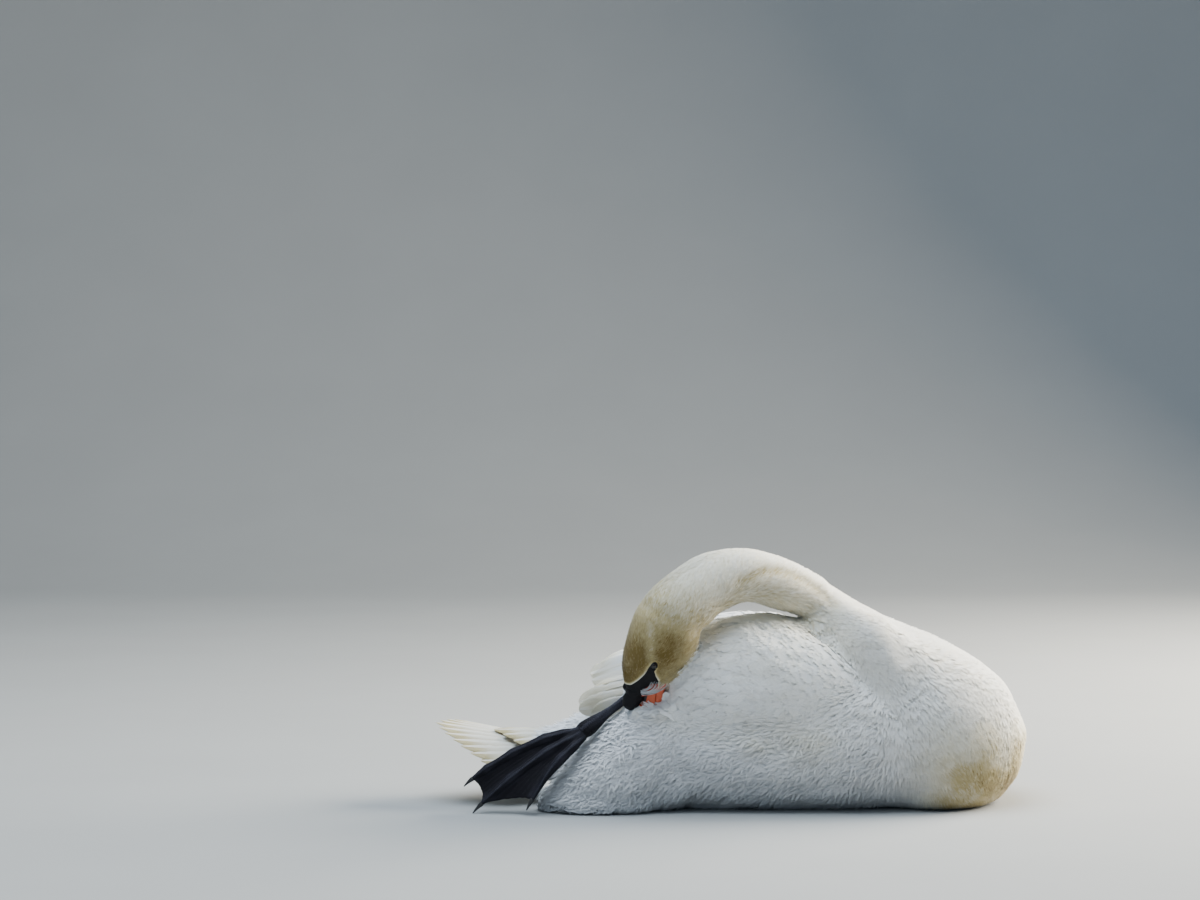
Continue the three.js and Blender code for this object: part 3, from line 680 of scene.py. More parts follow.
class Surface:
    # a triangle and quad mesh as arrays, with what is needed to smooth fields over it
    def __init__(self, mesh):
        self.points = np.zeros(len(mesh.vertices) * 3)
        mesh.vertices.foreach_get("co", self.points)
        self.points = self.points.reshape(-1, 3)
        self.polygons = [tuple(p.vertices) for p in mesh.polygons]
        edges = np.zeros(len(mesh.edges) * 2, np.int64)
        mesh.edges.foreach_get("vertices", edges)
        self.edges = edges.reshape(-1, 2)
        sizes = np.array([len(p) for p in self.polygons])
        self.padded = np.array([p if len(p) == 4 else (*p, p[2]) for p in self.polygons])
        self.isQuad = sizes == 4
        self.refresh()

    def refresh(self):
        a, b, c, d = (self.points[self.padded[:, i]] for i in range(4))
        cross = np.cross(c - a, d - b)
        flat = np.cross(b - a, c - a)
        cross = np.where(self.isQuad[:, None], cross, flat)
        self.areas = lengthOf(cross) / 2
        total = np.zeros_like(self.points)
        for i in range(4):
            np.add.at(total, self.padded[:, i], cross)
        self.normals = unit(total)

    def push(self, heights):
        # out along the normals, in millimetres
        self.points += self.normals * (heights * mm)[:, None]

    def connect(self, edges):
        # the neighbours that fields spread to
        self.linked = edges
        self.degree = np.maximum(np.bincount(edges.ravel(), minlength=len(self.points)), 1)

    def spread(self, values, rounds, share=0.5):
        values = np.array(values, float)
        flat = values.reshape(len(values), -1)
        first, second = self.linked.T
        for _ in range(rounds):
            for column in range(flat.shape[1]):
                given = flat[:, column]
                mean = (np.bincount(first, given[second], len(given))
                        + np.bincount(second, given[first], len(given))) / self.degree
                flat[:, column] = given + share * (mean - given)
        return flat.reshape(values.shape)

    def onFaces(self, values):
        corners = values[self.padded]
        quad = self.isQuad.reshape(-1, *[1] * (values.ndim - 1))
        return np.where(quad, corners.mean(1), corners[:, :3].mean(1))


def labelsOf(points):
    # the solid nearest to each point
    corners, faces, owner, start = [], [], [], 0
    for i, name in enumerate(flesh):
        mesh = solids[name].data
        corners += [v.co.copy() for v in mesh.vertices]
        faces += [[start + k for k in p.vertices] for p in mesh.polygons]
        owner += [i] * len(mesh.polygons)
        start = len(corners)
    tree = BVHTree.FromPolygons(corners, faces)
    return np.array([owner[tree.find_nearest(Vector(p))[2]] for p in points])


def distanceFrom(surface, seeds):
    # the shortest way over the skin from the seeds to each point
    lengths = lengthOf(surface.points[surface.linked[:, 0]] - surface.points[surface.linked[:, 1]])
    beside = [[] for _ in range(len(surface.points))]
    for (a, b), length in zip(surface.linked.tolist(), lengths.tolist()):
        beside[a].append((b, length))
        beside[b].append((a, length))
    found = [1e9] * len(beside)
    queue = [(0.0, int(i)) for i in seeds]
    for _, i in queue:
        found[i] = 0.0
    while queue:
        here, i = heapq.heappop(queue)
        if here > found[i]:
            continue
        for j, length in beside[i]:
            there = here + length
            if there < found[j]:
                found[j] = there
                heapq.heappush(queue, (there, j))
    return np.array(found)


def slopeOf(surface, height):
    a, b = surface.linked.T
    step = surface.points[b] - surface.points[a]
    length = np.maximum(lengthOf(step), 1e-7)
    pull = step / length[:, None] ** 2 * (height[b] - height[a])[:, None]
    total = np.zeros_like(surface.points)
    np.add.at(total, a, pull)
    np.add.at(total, b, pull)
    return total


def alongSurface(vectors, normals):
    return unit(vectors - dot(vectors, normals)[:, None] * normals)


def isOf(labels, *names):
    return np.isin(labels, [flesh.index(name) for name in names])


def perLabel(values):
    # one number for each point, from one for each flesh node
    return np.array([values(name) for name in flesh])[label]


def onBalls(balls):
    return [lengthOf(skin.points / mm - middle) < radius + 1.5 for *middle, radius in balls]


skinMesh = refineNear(largestPart(fusedFlesh()), nearFace, 3)
skin = Surface(skinMesh)
skin.connect(skin.edges)
skin.points = skin.spread(skin.points, skinSettings["rounds"])
skin.refresh()
label = labelsOf(skin.points)
border = skinSettings["breastBorder"]
ahead = skin.points[:, 0] / mm > border["at"] + border["wander"] * cloud(skin.points, border["size"], 2.0)
nearBorder = isOf(label, "breast", "trunk") & (skin.points[:, 0] > border["behind"] * mm)
label[nearBorder] = np.where(ahead[nearBorder], flesh.index("breast"), flesh.index("trunk"))
for found in onBalls(skinSettings["neckRoll"]):
    label[found & (label > flesh.index("breast"))] = flesh.index("neck_base")
for found in onBalls(skinSettings["heel"]):
    label[found] = flesh.index("thigh_right")
# the breast and the neck's root are rounder than their solids
rounder = skin.spread(isOf(label, "neck_base", "breast").astype(float), 6)
skin.points += rounder[:, None] * (skin.spread(skin.points, skinSettings["rounderBreast"]) - skin.points)
skin.refresh()
# the head and neck touch the body but are joined to it at the neck's root only
group = perLabel(groupOf.get)
isNeckSeam = isOf(label, "neck_lower", "neck_base")
first, second = skin.edges.T
skin.connect(skin.edges[(group[first] == group[second]) | (isNeckSeam[first] & isNeckSeam[second])])
place = inHead(skin.points)
fromBill = distanceFrom(skin, np.where((label == 0) & (place[:, 0] > regions["bill"]))[0])
fromBill[fromBill > 1e8] = 0.3  # where no way leads
print("skin fused:", len(skin.points), "points, farthest", round(float(fromBill.max()), 3), "m from the bill")

# the lie of the coat: away from the bill, and towards the tail over the body
tailwards = np.array([-1.0, 0.0, 0.05])
pullBack = {"trunk": 0.6, "wing_right": 0.8, "wing_left": 0.8, "breast": 0.25,
            "thigh_right": 0.5, "thigh_left": 0.5}
share = skin.spread(perLabel(lambda name: pullBack.get(name, 0.0)), 25)[:, None]
flow = unit(skin.spread(unit(slopeOf(skin, fromBill)), 10))
backwards = alongSurface(np.broadcast_to(tailwards, flow.shape), skin.normals)
flow = alongSurface(flow * (1 - share) + backwards * share, skin.normals)
flow = alongSurface(skin.spread(flow, 12), skin.normals)

fields = {key: skin.spread(perLabel(lambda name: coats[name][key]), 30)
          for key in ("depth", "length", "width")}
x, y, z = skin.points.T / mm
reach = np.clip((regions["shoulder"] - x) / (regions["shoulder"] - regions["tail"]), 0, 1)
onWing = skin.spread(isOf(label, "wing_right", "wing_left").astype(float), 12)
onFlank = smoothStep(*regions["flankTop"], z) * (group == 1) * smoothStep(*regions["flankFront"], x)
onFlank = skin.spread(onFlank * (1 - 0.5 * onWing), 10)
rump = smoothStep(*regions["rump"], x) * (group == 1)
fields["length"] *= 1 + 0.75 * onWing * reach + 0.7 * rump
fields["width"] *= 1 + 0.7 * onWing * reach


def insideOf(outline, low, high):
    # 0 up to low millimetres inside an outline on the head, 1 from high on
    onHead = (label == 0) & (np.abs(place[:, 2]) < 42)
    return np.where(onHead, smoothStep(low, high, polygonDepth(outline, place[:, 0], place[:, 1])), 0)


bare = insideOf(lore, -0.9, 0.9)
orange = insideOf(gape, -1.2, 1.2)
faceClose = insideOf(lore, -26, 0)
fields["depth"] = skin.spread(fields["depth"] * (1 - 0.9 * insideOf(lore, -4, 1)), 3)
headTree = KDTree(int((label == 0).sum()))
for i, point in enumerate(skin.points[label == 0]):
    headTree.insert(point, i)
headTree.balance()
toHead = np.array([headTree.find(point)[2] for point in skin.points]) / mm
fields["length"] *= 1 - 0.5 * smoothStep(50, 15, toHead) * (group == 1) * onWing
fields["length"] *= 1 - 0.5 * faceClose
fields["width"] *= 1 - 0.35 * faceClose


def ruffle(points):
    # long low ripples along the body
    return smoothStep(0.1, 0.5, cloud(points * np.array([0.38, 1, 1.7]), 17, 3.0))


# the form under the feathers
relief = {"lumps": 0.7, "flankLumps": 2.2, "ripples": 1.5, "creaseEnds": 0.15}
height = np.zeros(len(skin.points))
for tall, half, line in creases.values():
    away, along = lineDistance(skin.points, line)
    ends = smoothStep(0, relief["creaseEnds"], along) * smoothStep(1, 1 - relief["creaseEnds"], along)
    height += tall * bell(away / half) * ends
lumps = cloud(skin.points * np.array([0.7, 1, 1.5]), 34) + 0.5 * cloud(skin.points, 15, 5.0)
lumps = lumps * (relief["lumps"] + relief["flankLumps"] * onFlank)
height += (lumps - relief["ripples"] * onFlank * ruffle(skin.points)) * (group == 1)
skin.push(height - fields["depth"])
skin.points = skin.spread(skin.points, 1, 0.4)
skin.points[:, 2] = np.maximum(skin.points[:, 2], skinSettings["underside"] * mm)
skin.refresh()


# lids round the eyes
lids = {
    "ball": 5.6, "halfLong": 4.8, "halfTall": 3.8, "rim": 0.9, "lip": 1.2, "hollow": 2.2,
    "near": 18, "behind": -6, "blend": (2.4, 1.35), "bare": (1.50, 1.22),
    "fold": 1.75, "foldHalf": 0.22, "foldDepth": 0.45,
}


def shapeLids(points):
    for sign, middle in ((1, eyeMiddles["left"]), (-1, eyeMiddles["right"])):
        away = (points - middle) / mm
        outward = headSide * sign
        front, up, out = away @ headFront, away @ headUp, away @ outward
        near = (lengthOf(away) < lids["near"]) & (out > lids["behind"])
        ring = np.hypot(front / lids["halfLong"], up / lids["halfTall"])
        ballTop = math.sqrt(lids["ball"] ** 2 - lids["halfLong"] ** 2)
        hollow = np.sqrt(np.maximum(lids["ball"] ** 2 - front ** 2 - up ** 2, 0)) - lids["hollow"]
        rim = ballTop + lids["rim"]
        target = np.where(ring < 1, np.minimum(hollow, rim - lids["lip"]), rim)
        fade = np.where(ring < 1, 1, smoothStep(*lids["blend"], ring)) * near
        points += (fade * (target - out))[:, None] * outward * mm
        # a shallow fold that follows the lid
        fold = bell((ring - lids["fold"]) / lids["foldHalf"]) * near
        points -= (lids["foldDepth"] * fold)[:, None] * outward * mm
        bare[near] = np.maximum(bare[near], smoothStep(*lids["bare"], ring[near]))
    return points


skin.points = shapeLids(skin.points)
skin.refresh()


# markings, shared by the skin and the coat: how deep each stain is, from 0, white, to 1, the deepest brown;
# the neckFurrow and valley entries are painted shade in those creases, and the breast entry is partly stain,
# partly painted shade and bounce light
stains = {"face": 0.39, "neck": 0.25, "crown": 0.72, "cheek": 0.38, "paleLine": -0.18, "neckFurrow": 0.26,
          "throat": 0.16, "breast": 0.60, "breastTop": 0.12, "valley": 0.13}
# middles and half sizes, to the front and up
spots = {"crown": ((10, 30), (34, 19)), "cheek": ((-24, -13), (27, 19))}
throatLine = [(0, -118, 292), (34, -113, 296), (62, -95, 288), (100, -80, 268)]


def stainAndShadeAt(points, distance):
    # distance is how far each point is from the bill, in metres
    front, up, _ = inHead(points).T
    onFace = smoothStep(0.16, 0.10, distance)
    shares = {name: np.exp(-((front - place[0]) / half[0]) ** 2 - ((up - place[1]) / half[1]) ** 2)
              for name, (place, half) in spots.items()}
    behindEye = smoothStep(2, -14, front) * smoothStep(-80, -25, front)
    shares["paleLine"] = bell((up - 4 + 0.36 * front) / 5) * behindEye
    stain = stains["face"] * smoothStep(0.22, 0.09, distance)
    stain = stain + stains["neck"] * smoothStep(0.68, 0.2, distance)
    stain = stain + onFace * sum(stains[key] * share for key, share in shares.items())
    rim = smoothStep(-3.4, 0.5, polygonDepth(lore, front, up)) * (0.35 + 0.4 * smoothStep(4, 22, front))
    stain = stain * (1 - onFace * rim)
    furrow, along = lineDistance(points, creases["neckFurrow"][2])
    x, y, z = (np.asarray(points) / mm).T
    patches = np.sin(x / 17 + z / 29) * np.sin(z / 14 - x / 37) + 0.5 * np.sin(y / 23 + x / 11)
    shares = {
        # painted shade along the neck's furrow
        "neckFurrow": bell(furrow / 7) * smoothStep(0, 0.2, along) * smoothStep(1, 0.8, along),
        "throat": bell(lineDistance(points, throatLine)[0] / 24),
        # low on the breast: partly a stain, partly painted shade and painted green-yellow bounce light from
        # below
        "breast": smoothStep(215, 340, x) * smoothStep(150, 20, z) * (1 + 0.35 * patches),
        "breastTop": smoothStep(150, 380, x),
        # painted shade in the valley crease between the thigh and the flank
        "valley": bell(lineDistance(points, creases["valley"][2])[0] / 22) * (1 + 0.5 * patches),
    }
    return np.clip(stain + sum(stains[key] * share for key, share in shares.items()), 0, 1)


# how much greyer the plumage is painted: all painted shade (breast, neck, neck root, valley crease, ripple
# troughs) except the part towards the floor, which is partly soiling and partly painted shade
paintedShadeAndSoil = {"breast": 0.30, "soiled": 0.60, "valley": 0.42, "ripples": 0.26, "breastRipples": 0.16, "neck": 0.22,
         "neckRoot": 0.28}


def paintedShadeAndSoilOf(points):
    # painted shade: the breast, and the flank below the wing, are painted greyer than the wings; towards the
    # floor the plumage is darker, partly soiled and partly painted shade; the valley crease gets painted
    # shade
    x, _, z = points.T
    valleyShade = bell(lineDistance(points, creases["valley"][2])[0] / 20)
    soiled = paintedShadeAndSoil["soiled"] * smoothStep(0.135, 0.02, z) * smoothStep(0.34, 0.22, x)
    return paintedShadeAndSoil["breast"] * smoothStep(0.12, 0.25, x) + soiled + paintedShadeAndSoil["valley"] * valleyShade


skinStainAndShade = stainAndShadeAt(skin.points, fromBill)
skinMesh.vertices.foreach_set("co", skin.points.astype(np.float32).ravel())
skinMesh.update()
skinMesh.polygons.foreach_set("use_smooth", np.ones(len(skinMesh.polygons), bool))
for key, values in {"stain": skinStainAndShade, "bare": bare, "orange": orange}.items():
    skinMesh.attributes.new(key, "FLOAT", "POINT").data.foreach_set("value", values.astype(np.float32))
skinMesh.materials.clear()
skinMesh.materials.append(materials["skin"])
skinMesh.name = "skin"
skinPiece = placed("skin", skinMesh)


def unwrap(piece):
    bpy.context.view_layer.objects.active = piece
    piece.select_set(True)
    while piece.data.uv_layers:
        piece.data.uv_layers.remove(piece.data.uv_layers[0])
    piece.data.uv_layers.new(name="OFBake")
    bpy.ops.object.mode_set(mode="EDIT")
    bpy.ops.mesh.select_all(action="SELECT")
    bpy.ops.uv.smart_project(angle_limit=math.radians(70), island_margin=0.002)
    bpy.ops.object.mode_set(mode="OBJECT")
    piece.select_set(False)
    uv = np.zeros(len(piece.data.loops) * 2)
    piece.data.uv_layers["OFBake"].uv.foreach_get("vector", uv)
    starts = np.zeros(len(piece.data.polygons), np.int64)
    piece.data.polygons.foreach_get("loop_start", starts)
    return uv.reshape(-1, 2)[starts]


faceCorner = unwrap(skinPiece)
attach(skinPiece, "root")
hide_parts(*flesh)
print("skin finished:", trianglesOf(skinPiece), "triangles")


# feathers of the coat
def leafShape(rows, columns):
    # a closed leaf: a gridded top that ends in a comb of points, and a plain underside
    places = []
    for row in range(rows):
        for column in range(columns):
            across = 2 * column / (columns - 1) - 1
            places.append((row / (rows - 1), across, 1))
    comb = rows * columns
    for column in range(columns - 1):
        places.append((1.0, 2 * (column + 0.5) / (columns - 1) - 1, 2))
    under = comb + columns - 1
    places.append(((rows - 1.5) / (rows - 1), 0, 0))
    quads, triangles, hard = [], [], []
    for row in range(rows - 1):
        for column in range(columns - 1):
            a = row * columns + column
            quads.append((a, a + columns, a + columns + 1, a + 1))
        hard += [(row * columns, (row + 1) * columns), ((row + 1) * columns - 1, (row + 2) * columns - 1)]
    last = (rows - 1) * columns
    for column in range(columns - 1):
        triangles.append((last + column, comb + column, last + column + 1))
        triangles.append((under, comb + column, last + column))
        triangles.append((under, last + column + 1, comb + column))
        hard += [(last + column, comb + column), (comb + column, last + column + 1)]
    for row in range(rows - 2):
        left, right = row * columns, (row + 1) * columns - 1
        quads.append((left, right, right + columns, left + columns))
    left, right = (rows - 2) * columns, (rows - 1) * columns - 1
    triangles += [(left, right, under), (left, under, last), (right, last + columns - 1, under)]
    for column in range(1, columns - 1):
        triangles.append((0, column, column + 1))
    hard += [(column, column + 1) for column in range(columns - 1)]
    onTop = [[row < (rows - 1) * (columns - 1) for row in range(len(quads))],
             [row < 3 * (columns - 1) and row % 3 == 0 for row in range(len(triangles))]]
    return {"places": np.array(places, float), "faces": [quads, triangles], "hard": hard, "columns": columns,
            "onTop": onTop}


def bladeShape():
    # a closed blade of ten triangles with a low ridge
    places = [(0, -1, 1), (0, 0, 3), (0, 1, 1), (0.55, -1, 1), (0.55, 0, 3), (0.55, 1, 1), (1, 0, 2)]
    quads = [(0, 3, 4, 1), (1, 4, 5, 2), (0, 2, 5, 3)]
    triangles = [(3, 6, 4), (4, 6, 5), (3, 5, 6), (0, 1, 2)]
    hard = [(0, 3), (3, 6), (2, 5), (5, 6), (0, 1), (1, 2), (0, 2)]
    onTop = [[True, True, False], [True, True, False, False]]
    return {"places": np.array(places, float), "faces": [quads, triangles], "hard": hard, "columns": 0,
            "onTop": onTop}


skinTree = BVHTree.FromPolygons([Vector(p) for p in skin.points], skin.polygons)
faceFlow = unit(skin.onFaces(flow))
faceNormal = unit(skin.onFaces(skin.normals))
fields.update({"bare": bare, "head": toHead, "fromBill": fromBill, "flank": onFlank, "wing": onWing})
faceField = {key: skin.onFaces(values) for key, values in fields.items()}
faceLabel = label[skin.padded[:, 0]]
faceMiddle = skin.onFaces(skin.points)


laying = {
    "tried": 2.6,       # roots thrown for each square of the spacing
    "jump": 0.09,       # metres along the bird that a feather's two ends may be apart
    "hold": 0.45,       # how firmly it keeps to the lie of the coat
    "strayed": 5,       # farthest from the skin that a tip may be
    "most": 195000,     # triangles in one piece
    "sizes": 0.14,      # how much one feather differs from the next
    "tones": 0.12,
    "stains": 0.12,
    "curve": 0.12,      # sideways, as a share of the length
    "onFloor": 0.35,    # lowest height of the undersides
    "topOnFloor": 0.25,  # how much higher the tops are there
    # painted shade at each feather's root, where the feathers above cover it
    "darkRoot": 0.16,
    "uvSize": 0.0015,
}
# leaves: how far they reach at the shaft and how much less at the sides, their comb, and their width
leaves = {"reach": 0.86, "rounded": 0.24, "comb": 0.05, "rootWidth": 0.3, "widest": 0.8, "narrowing": 0.72}
# the looks of a coat that gives none of its own
plain = {"scatter": 0.12, "ragged": 0.08, "sink": 0.8, "rise": 0.8, "camber": 0.18, "crown": 0.35,
         "thick": 0.5, "roll": 0.05, "curl": 0.5, "soft": 0.8, "uneven": 0.1, "fan": 0.30}
# barbs that fan out from one root
fans = {"apart": 0.30, "uneven": 0.06, "sidesShorter": 0.20, "shorter": 0.16, "wider": 1.15, "shared": 0.75,
        "sidesLower": 0.5}


def scatter(faces, spacing):
    # roots on those faces, about spacing millimetres apart (one number, or one for each face)
    spacing = np.broadcast_to(spacing, len(faces)) * mm
    count = dice.poisson(skin.areas[faces] / spacing ** 2 * laying["tried"])
    chosen = np.repeat(faces, count)
    gap = np.repeat(spacing, count)
    corners = skin.points[skin.padded[chosen]]
    s, t = dice.random((2, len(chosen), 1))
    a, b, c, d = (corners[:, i] for i in range(4))
    quad = (a * (1 - s) + b * s) * (1 - t) + (d * (1 - s) + c * s) * t
    swap = (s + t) > 1
    s, t = np.where(swap, 1 - s, s), np.where(swap, 1 - t, t)
    flat = a + (b - a) * s + (c - a) * t
    roots = np.where(skin.isQuad[chosen][:, None], quad, flat)
    order = dice.permutation(len(roots))
    roots, chosen, gap = roots[order], chosen[order], gap[order]
    cells = np.floor(roots / gap[:, None]).astype(np.int64)
    level = np.round(np.log(gap / mm) * 8).astype(np.int64)
    _, first = np.unique(np.column_stack([cells, level]), axis=0, return_index=True)
    first.sort()
    return roots[first], chosen[first]


def walk(roots, faces, lengths, steps, turn):
    # follows the lie of the coat over the skin from each root; returns places, normals and directions
    count = len(roots)
    places = np.zeros((count, steps + 1, 3))
    normals = np.zeros_like(places)
    heading = np.zeros_like(places)
    normal, way = faceNormal[faces], faceFlow[faces]
    side = np.cross(normal, way)
    way = unit(way * np.cos(turn)[:, None] + side * np.sin(turn)[:, None])
    places[:, 0], normals[:, 0], heading[:, 0] = roots, normal, way
    start = faceField["fromBill"][faces]
    stride = (lengths / steps)[:, None] * mm
    free = np.ones(count, bool)
    for step in range(1, steps + 1):
        target = places[:, step - 1] + heading[:, step - 1] * stride
        found = [skinTree.find_nearest(Vector(p)) for p in target]
        index = np.array([f[2] for f in found])
        near = np.array([f[0] for f in found])
        free &= np.abs(faceField["fromBill"][index] - start) < laying["jump"]
        onSkin = free[:, None]
        newNormal = np.where(onSkin, faceNormal[index], normals[:, step - 1])
        turned = heading[:, step - 1] + laying["hold"] * np.where(onSkin, faceFlow[index], 0)
        places[:, step] = np.where(onSkin, near, target)
        normals[:, step], heading[:, step] = newNormal, alongSurface(turned, newNormal)
    gone = np.array([skinTree.find_nearest(Vector(p))[3] for p in places[:, -1]])
    return places, normals, heading, free | (gone < laying["strayed"] * mm)


def growFeathers(name, shape, roots, faces, looks):
    # one joined mesh of them; looks gives numbers or one number for each root
    look = {key: np.broadcast_to(value, len(roots)).astype(float) for key, value in looks.items()}
    steps = 3 if shape["columns"] else 2
    places, normals, heading, held = walk(roots, faces, look["length"], steps, look["turn"])
    # those that have left the skin are dropped
    look = {key: values[held] for key, values in look.items()}
    places, normals, heading, faces = places[held], normals[held], heading[held], faces[held]
    count = len(faces)
    sides = np.cross(normals, heading)
    proto = shape["places"]
    along, across, kind = proto.T
    if shape["columns"]:
        reach = along * (leaves["reach"] - leaves["rounded"] * across ** 2)
        reach = np.broadcast_to(reach, (count, len(proto))).copy()
        jitter = dice.random((count, len(proto)))
        tips = kind == 2
        reach[:, tips] += leaves["comb"] + look["ragged"][:, None] * jitter[:, tips]
        last = (along == 1) & (kind == 1)
        reach[:, last] += (jitter[:, last] - 0.5) * 0.5 * look["ragged"][:, None]
        width = leaves["rootWidth"] * (1 - along)
        width = width + np.sin(np.pi * along ** leaves["widest"] * leaves["narrowing"])
    else:
        reach = np.broadcast_to(along, (count, len(proto))).copy()
        width = np.array([0.7, 0.7, 0.7, 1.0, 1.0, 1.0, 0.0])
    scaled = np.clip(reach, 0, 1.15) * steps
    index = np.minimum(scaled.astype(int), steps - 1)
    part = (scaled - index)[..., None]
    row = np.arange(count)[:, None]
    middle = places[row, index] * (1 - part) + places[row, index + 1] * part
    up = unit(normals[row, index] * (1 - part) + normals[row, index + 1] * part)
    side = unit(sides[row, index] * (1 - part) + sides[row, index + 1] * part)
    halfWidth = (look["width"][:, None] / 2 * width)[..., None] * mm
    bend = dice.normal(0, laying["curve"], count) * look["length"]
    wander = bend[:, None, None] * reach[..., None] ** 2 * mm
    lift = -look["sink"][:, None] + (look["lift"] + look["sink"])[:, None] * reach ** look["rise"][:, None]
    crown = np.where(kind == 3, look["crown"][:, None], 0)
    crown = crown - look["camber"][:, None] * across ** 2 * (look["width"] / 2)[:, None]
    crown = crown - np.where(kind == 0, look["thick"][:, None], 0)
    roll = np.tan(look["roll"] * dice.normal(0, 1, count))[:, None] * across * look["width"][:, None] / 2
    points = middle + side * (across[:, None] * halfWidth + wander * look["curl"][:, None, None])
    points = points + up * ((lift + crown + roll) * mm)[..., None]
    lowest = laying["onFloor"] * mm + laying["topOnFloor"] * mm * (kind == 1)
    points[..., 2] = np.maximum(points[..., 2], lowest)
    offset = (np.arange(count) * len(proto))[:, None, None]
    faceSets = [(np.array(f)[None] + offset).reshape(-1, len(f[0])) for f in shape["faces"]]
    flat = points.reshape(-1, 3)
    distance = np.repeat(faceField["fromBill"][faces], len(proto))
    # each feather is painted darker towards its root: painted shade under the feathers above it
    shade = 1 - laying["darkRoot"] * (1 - np.clip(along, 0, 1)) ** 2
    tone = np.repeat(look["tone"], len(proto)) * np.tile(shade, count)
    around = laying["uvSize"] * np.stack([across, 2 * np.clip(along, 0, 1) - 1], -1)
    uv = np.clip(faceCorner[faces][:, None] + around[None], 0, 1).reshape(-1, 2)
    stain = stainAndShadeAt(flat, distance) * np.repeat(look["stain"], len(proto))
    attributes = {"stain": np.clip(stain, 0, 1), "tone": np.clip(tone, 0, 1),
                  "along": np.tile(along, count), "across": np.tile(np.abs(across), count)}
    ways = np.broadcast_to(up, points.shape).reshape(-1, 3)
    shares = np.concatenate([np.tile(np.array(top, float), count) for top in shape["onTop"]]) * looks["soft"]
    piece = meshPiece(name, flat, faceSets, "plumage", attributes, uv, (len(proto), shape["hard"]),
                      (ways, shares))
    print(f"  {name}: {count} blades, {trianglesOf(piece)} triangles")


blade = bladeShape()
smallLeaf = leafShape(4, 5)
longLeaf = leafShape(6, 7)


def coatOf(name, chosen, spacing, shape=blade, barbs=1, slot="plumage", **looks):
    # feathers on those faces; one feather is one leaf, or several barbs that fan out from its root
    faces = np.where(chosen)[0]
    roots, owner = scatter(faces, spacing[faces] if isinstance(spacing, np.ndarray) else spacing)
    perFeather = barbs * (2 * len(shape["faces"][0]) + len(shape["faces"][1]))
    if len(roots) * perFeather > laying["most"]:
        print(f"  {name}: {len(roots)} roots, more than fit")
        kept = np.sort(dice.permutation(len(roots))[: laying["most"] // perFeather])
        roots, owner = roots[kept], owner[kept]
    count = len(roots)
    size = np.exp(dice.normal(0, laying["sizes"], count))
    settings = {**plain, "lift": faceField["depth"][owner],
                "length": faceField["length"][owner] * size, "width": faceField["width"][owner] * size,
                "tone": 1.0 - laying["tones"] * dice.random(count),
                "stain": np.exp(dice.normal(0, laying["stains"], count))}
    for key, value in looks.items():
        settings[key] = value(roots, owner, settings) if callable(value) else value
    settings["lift"] = settings["lift"] * (1 + settings["uneven"] * dice.uniform(-1, 1, count))
    settings["turn"] = settings["scatter"] * dice.normal(0, 1, count)
    if barbs > 1:
        settings = {key: np.repeat(np.broadcast_to(value, count), barbs) for key, value in settings.items()}
        roots, owner = np.repeat(roots, barbs, 0), np.repeat(owner, barbs)
        side = np.tile(np.linspace(-1, 1, barbs), count)
        aside = np.cross(faceNormal[owner], faceFlow[owner])
        roots = roots + aside * (fans["apart"] * side * settings["width"] * mm)[:, None]
        uneven = dice.normal(0, fans["uneven"], len(roots))
        settings["turn"] = settings["turn"] + settings["fan"] * side + uneven
        shorter = fans["sidesShorter"] * side ** 2
        settings["length"] = settings["length"] * (1 - shorter - fans["shorter"] * dice.random(len(roots)))
        settings["width"] = settings["width"] * fans["wider"] / barbs ** fans["shared"]
        settings["lift"] = settings["lift"] - fans["sidesLower"] * side ** 2
    settings["soft"] = float(np.max(settings["soft"]))
    growFeathers(name, shape, roots, owner, settings)


# a look that is a function is given the feathers' roots, the skin's faces they stand on, and the looks so far
headLooks = {
    "scatter": 0.16, "crown": 0.25, "curl": 0.4, "uneven": 0.35,
    "stain": lambda roots, on, looks: np.exp(dice.normal(0, 0.09, len(roots))),
}
neckLooks = {
    "uneven": 0.4, "crown": 0.4,
    "width": lambda roots, on, looks: looks["width"] * 1.25,
    # the neck is painted greyer than the wings: painted shade
    "tone": lambda roots, on, looks: looks["tone"] - paintedShadeAndSoil["neck"],
    "stain": lambda roots, on, looks: np.exp(dice.normal(0, 0.16, len(roots))),
}
neckRootLooks = {
    "barbs": 4, "scatter": 0.15,
    # the neck's root is painted greyer too: painted shade
    "tone": lambda roots, on, looks: looks["tone"] - paintedShadeAndSoil["neckRoot"],
}
breastLooks = {
    "barbs": 5, "scatter": 0.16,
    "uneven": lambda roots, on, looks: 0.32 - 0.24 * smoothStep(0.25, 0.33, roots[:, 0]),
    # painted shade on the breast, and along the troughs of its ripples
    "tone": lambda roots, on, looks: (looks["tone"] - paintedShadeAndSoilOf(roots)
                                      - paintedShadeAndSoil["breastRipples"] * smoothStep(0.32, 0.24, roots[:, 0])
                                      * ruffle(roots)),
}
flankLooks = {
    "barbs": 5, "uneven": 0.32, "curl": 0.8,
    "scatter": lambda roots, on, looks: 0.16 + 0.34 * faceField["flank"][on],
    "fan": lambda roots, on, looks: 0.28 + 0.16 * faceField["flank"][on],
    "lift": lambda roots, on, looks: looks["lift"] * (1 + 0.4 * faceField["flank"][on]
                                                      * cloud(roots, 26, 9.0)),
    # painted shade on the flank, partly soiling low down, and along the ripples' troughs
    "tone": lambda roots, on, looks: (looks["tone"] - paintedShadeAndSoilOf(roots)
                                      - paintedShadeAndSoil["ripples"] * faceField["flank"][on] * ruffle(roots)),
}
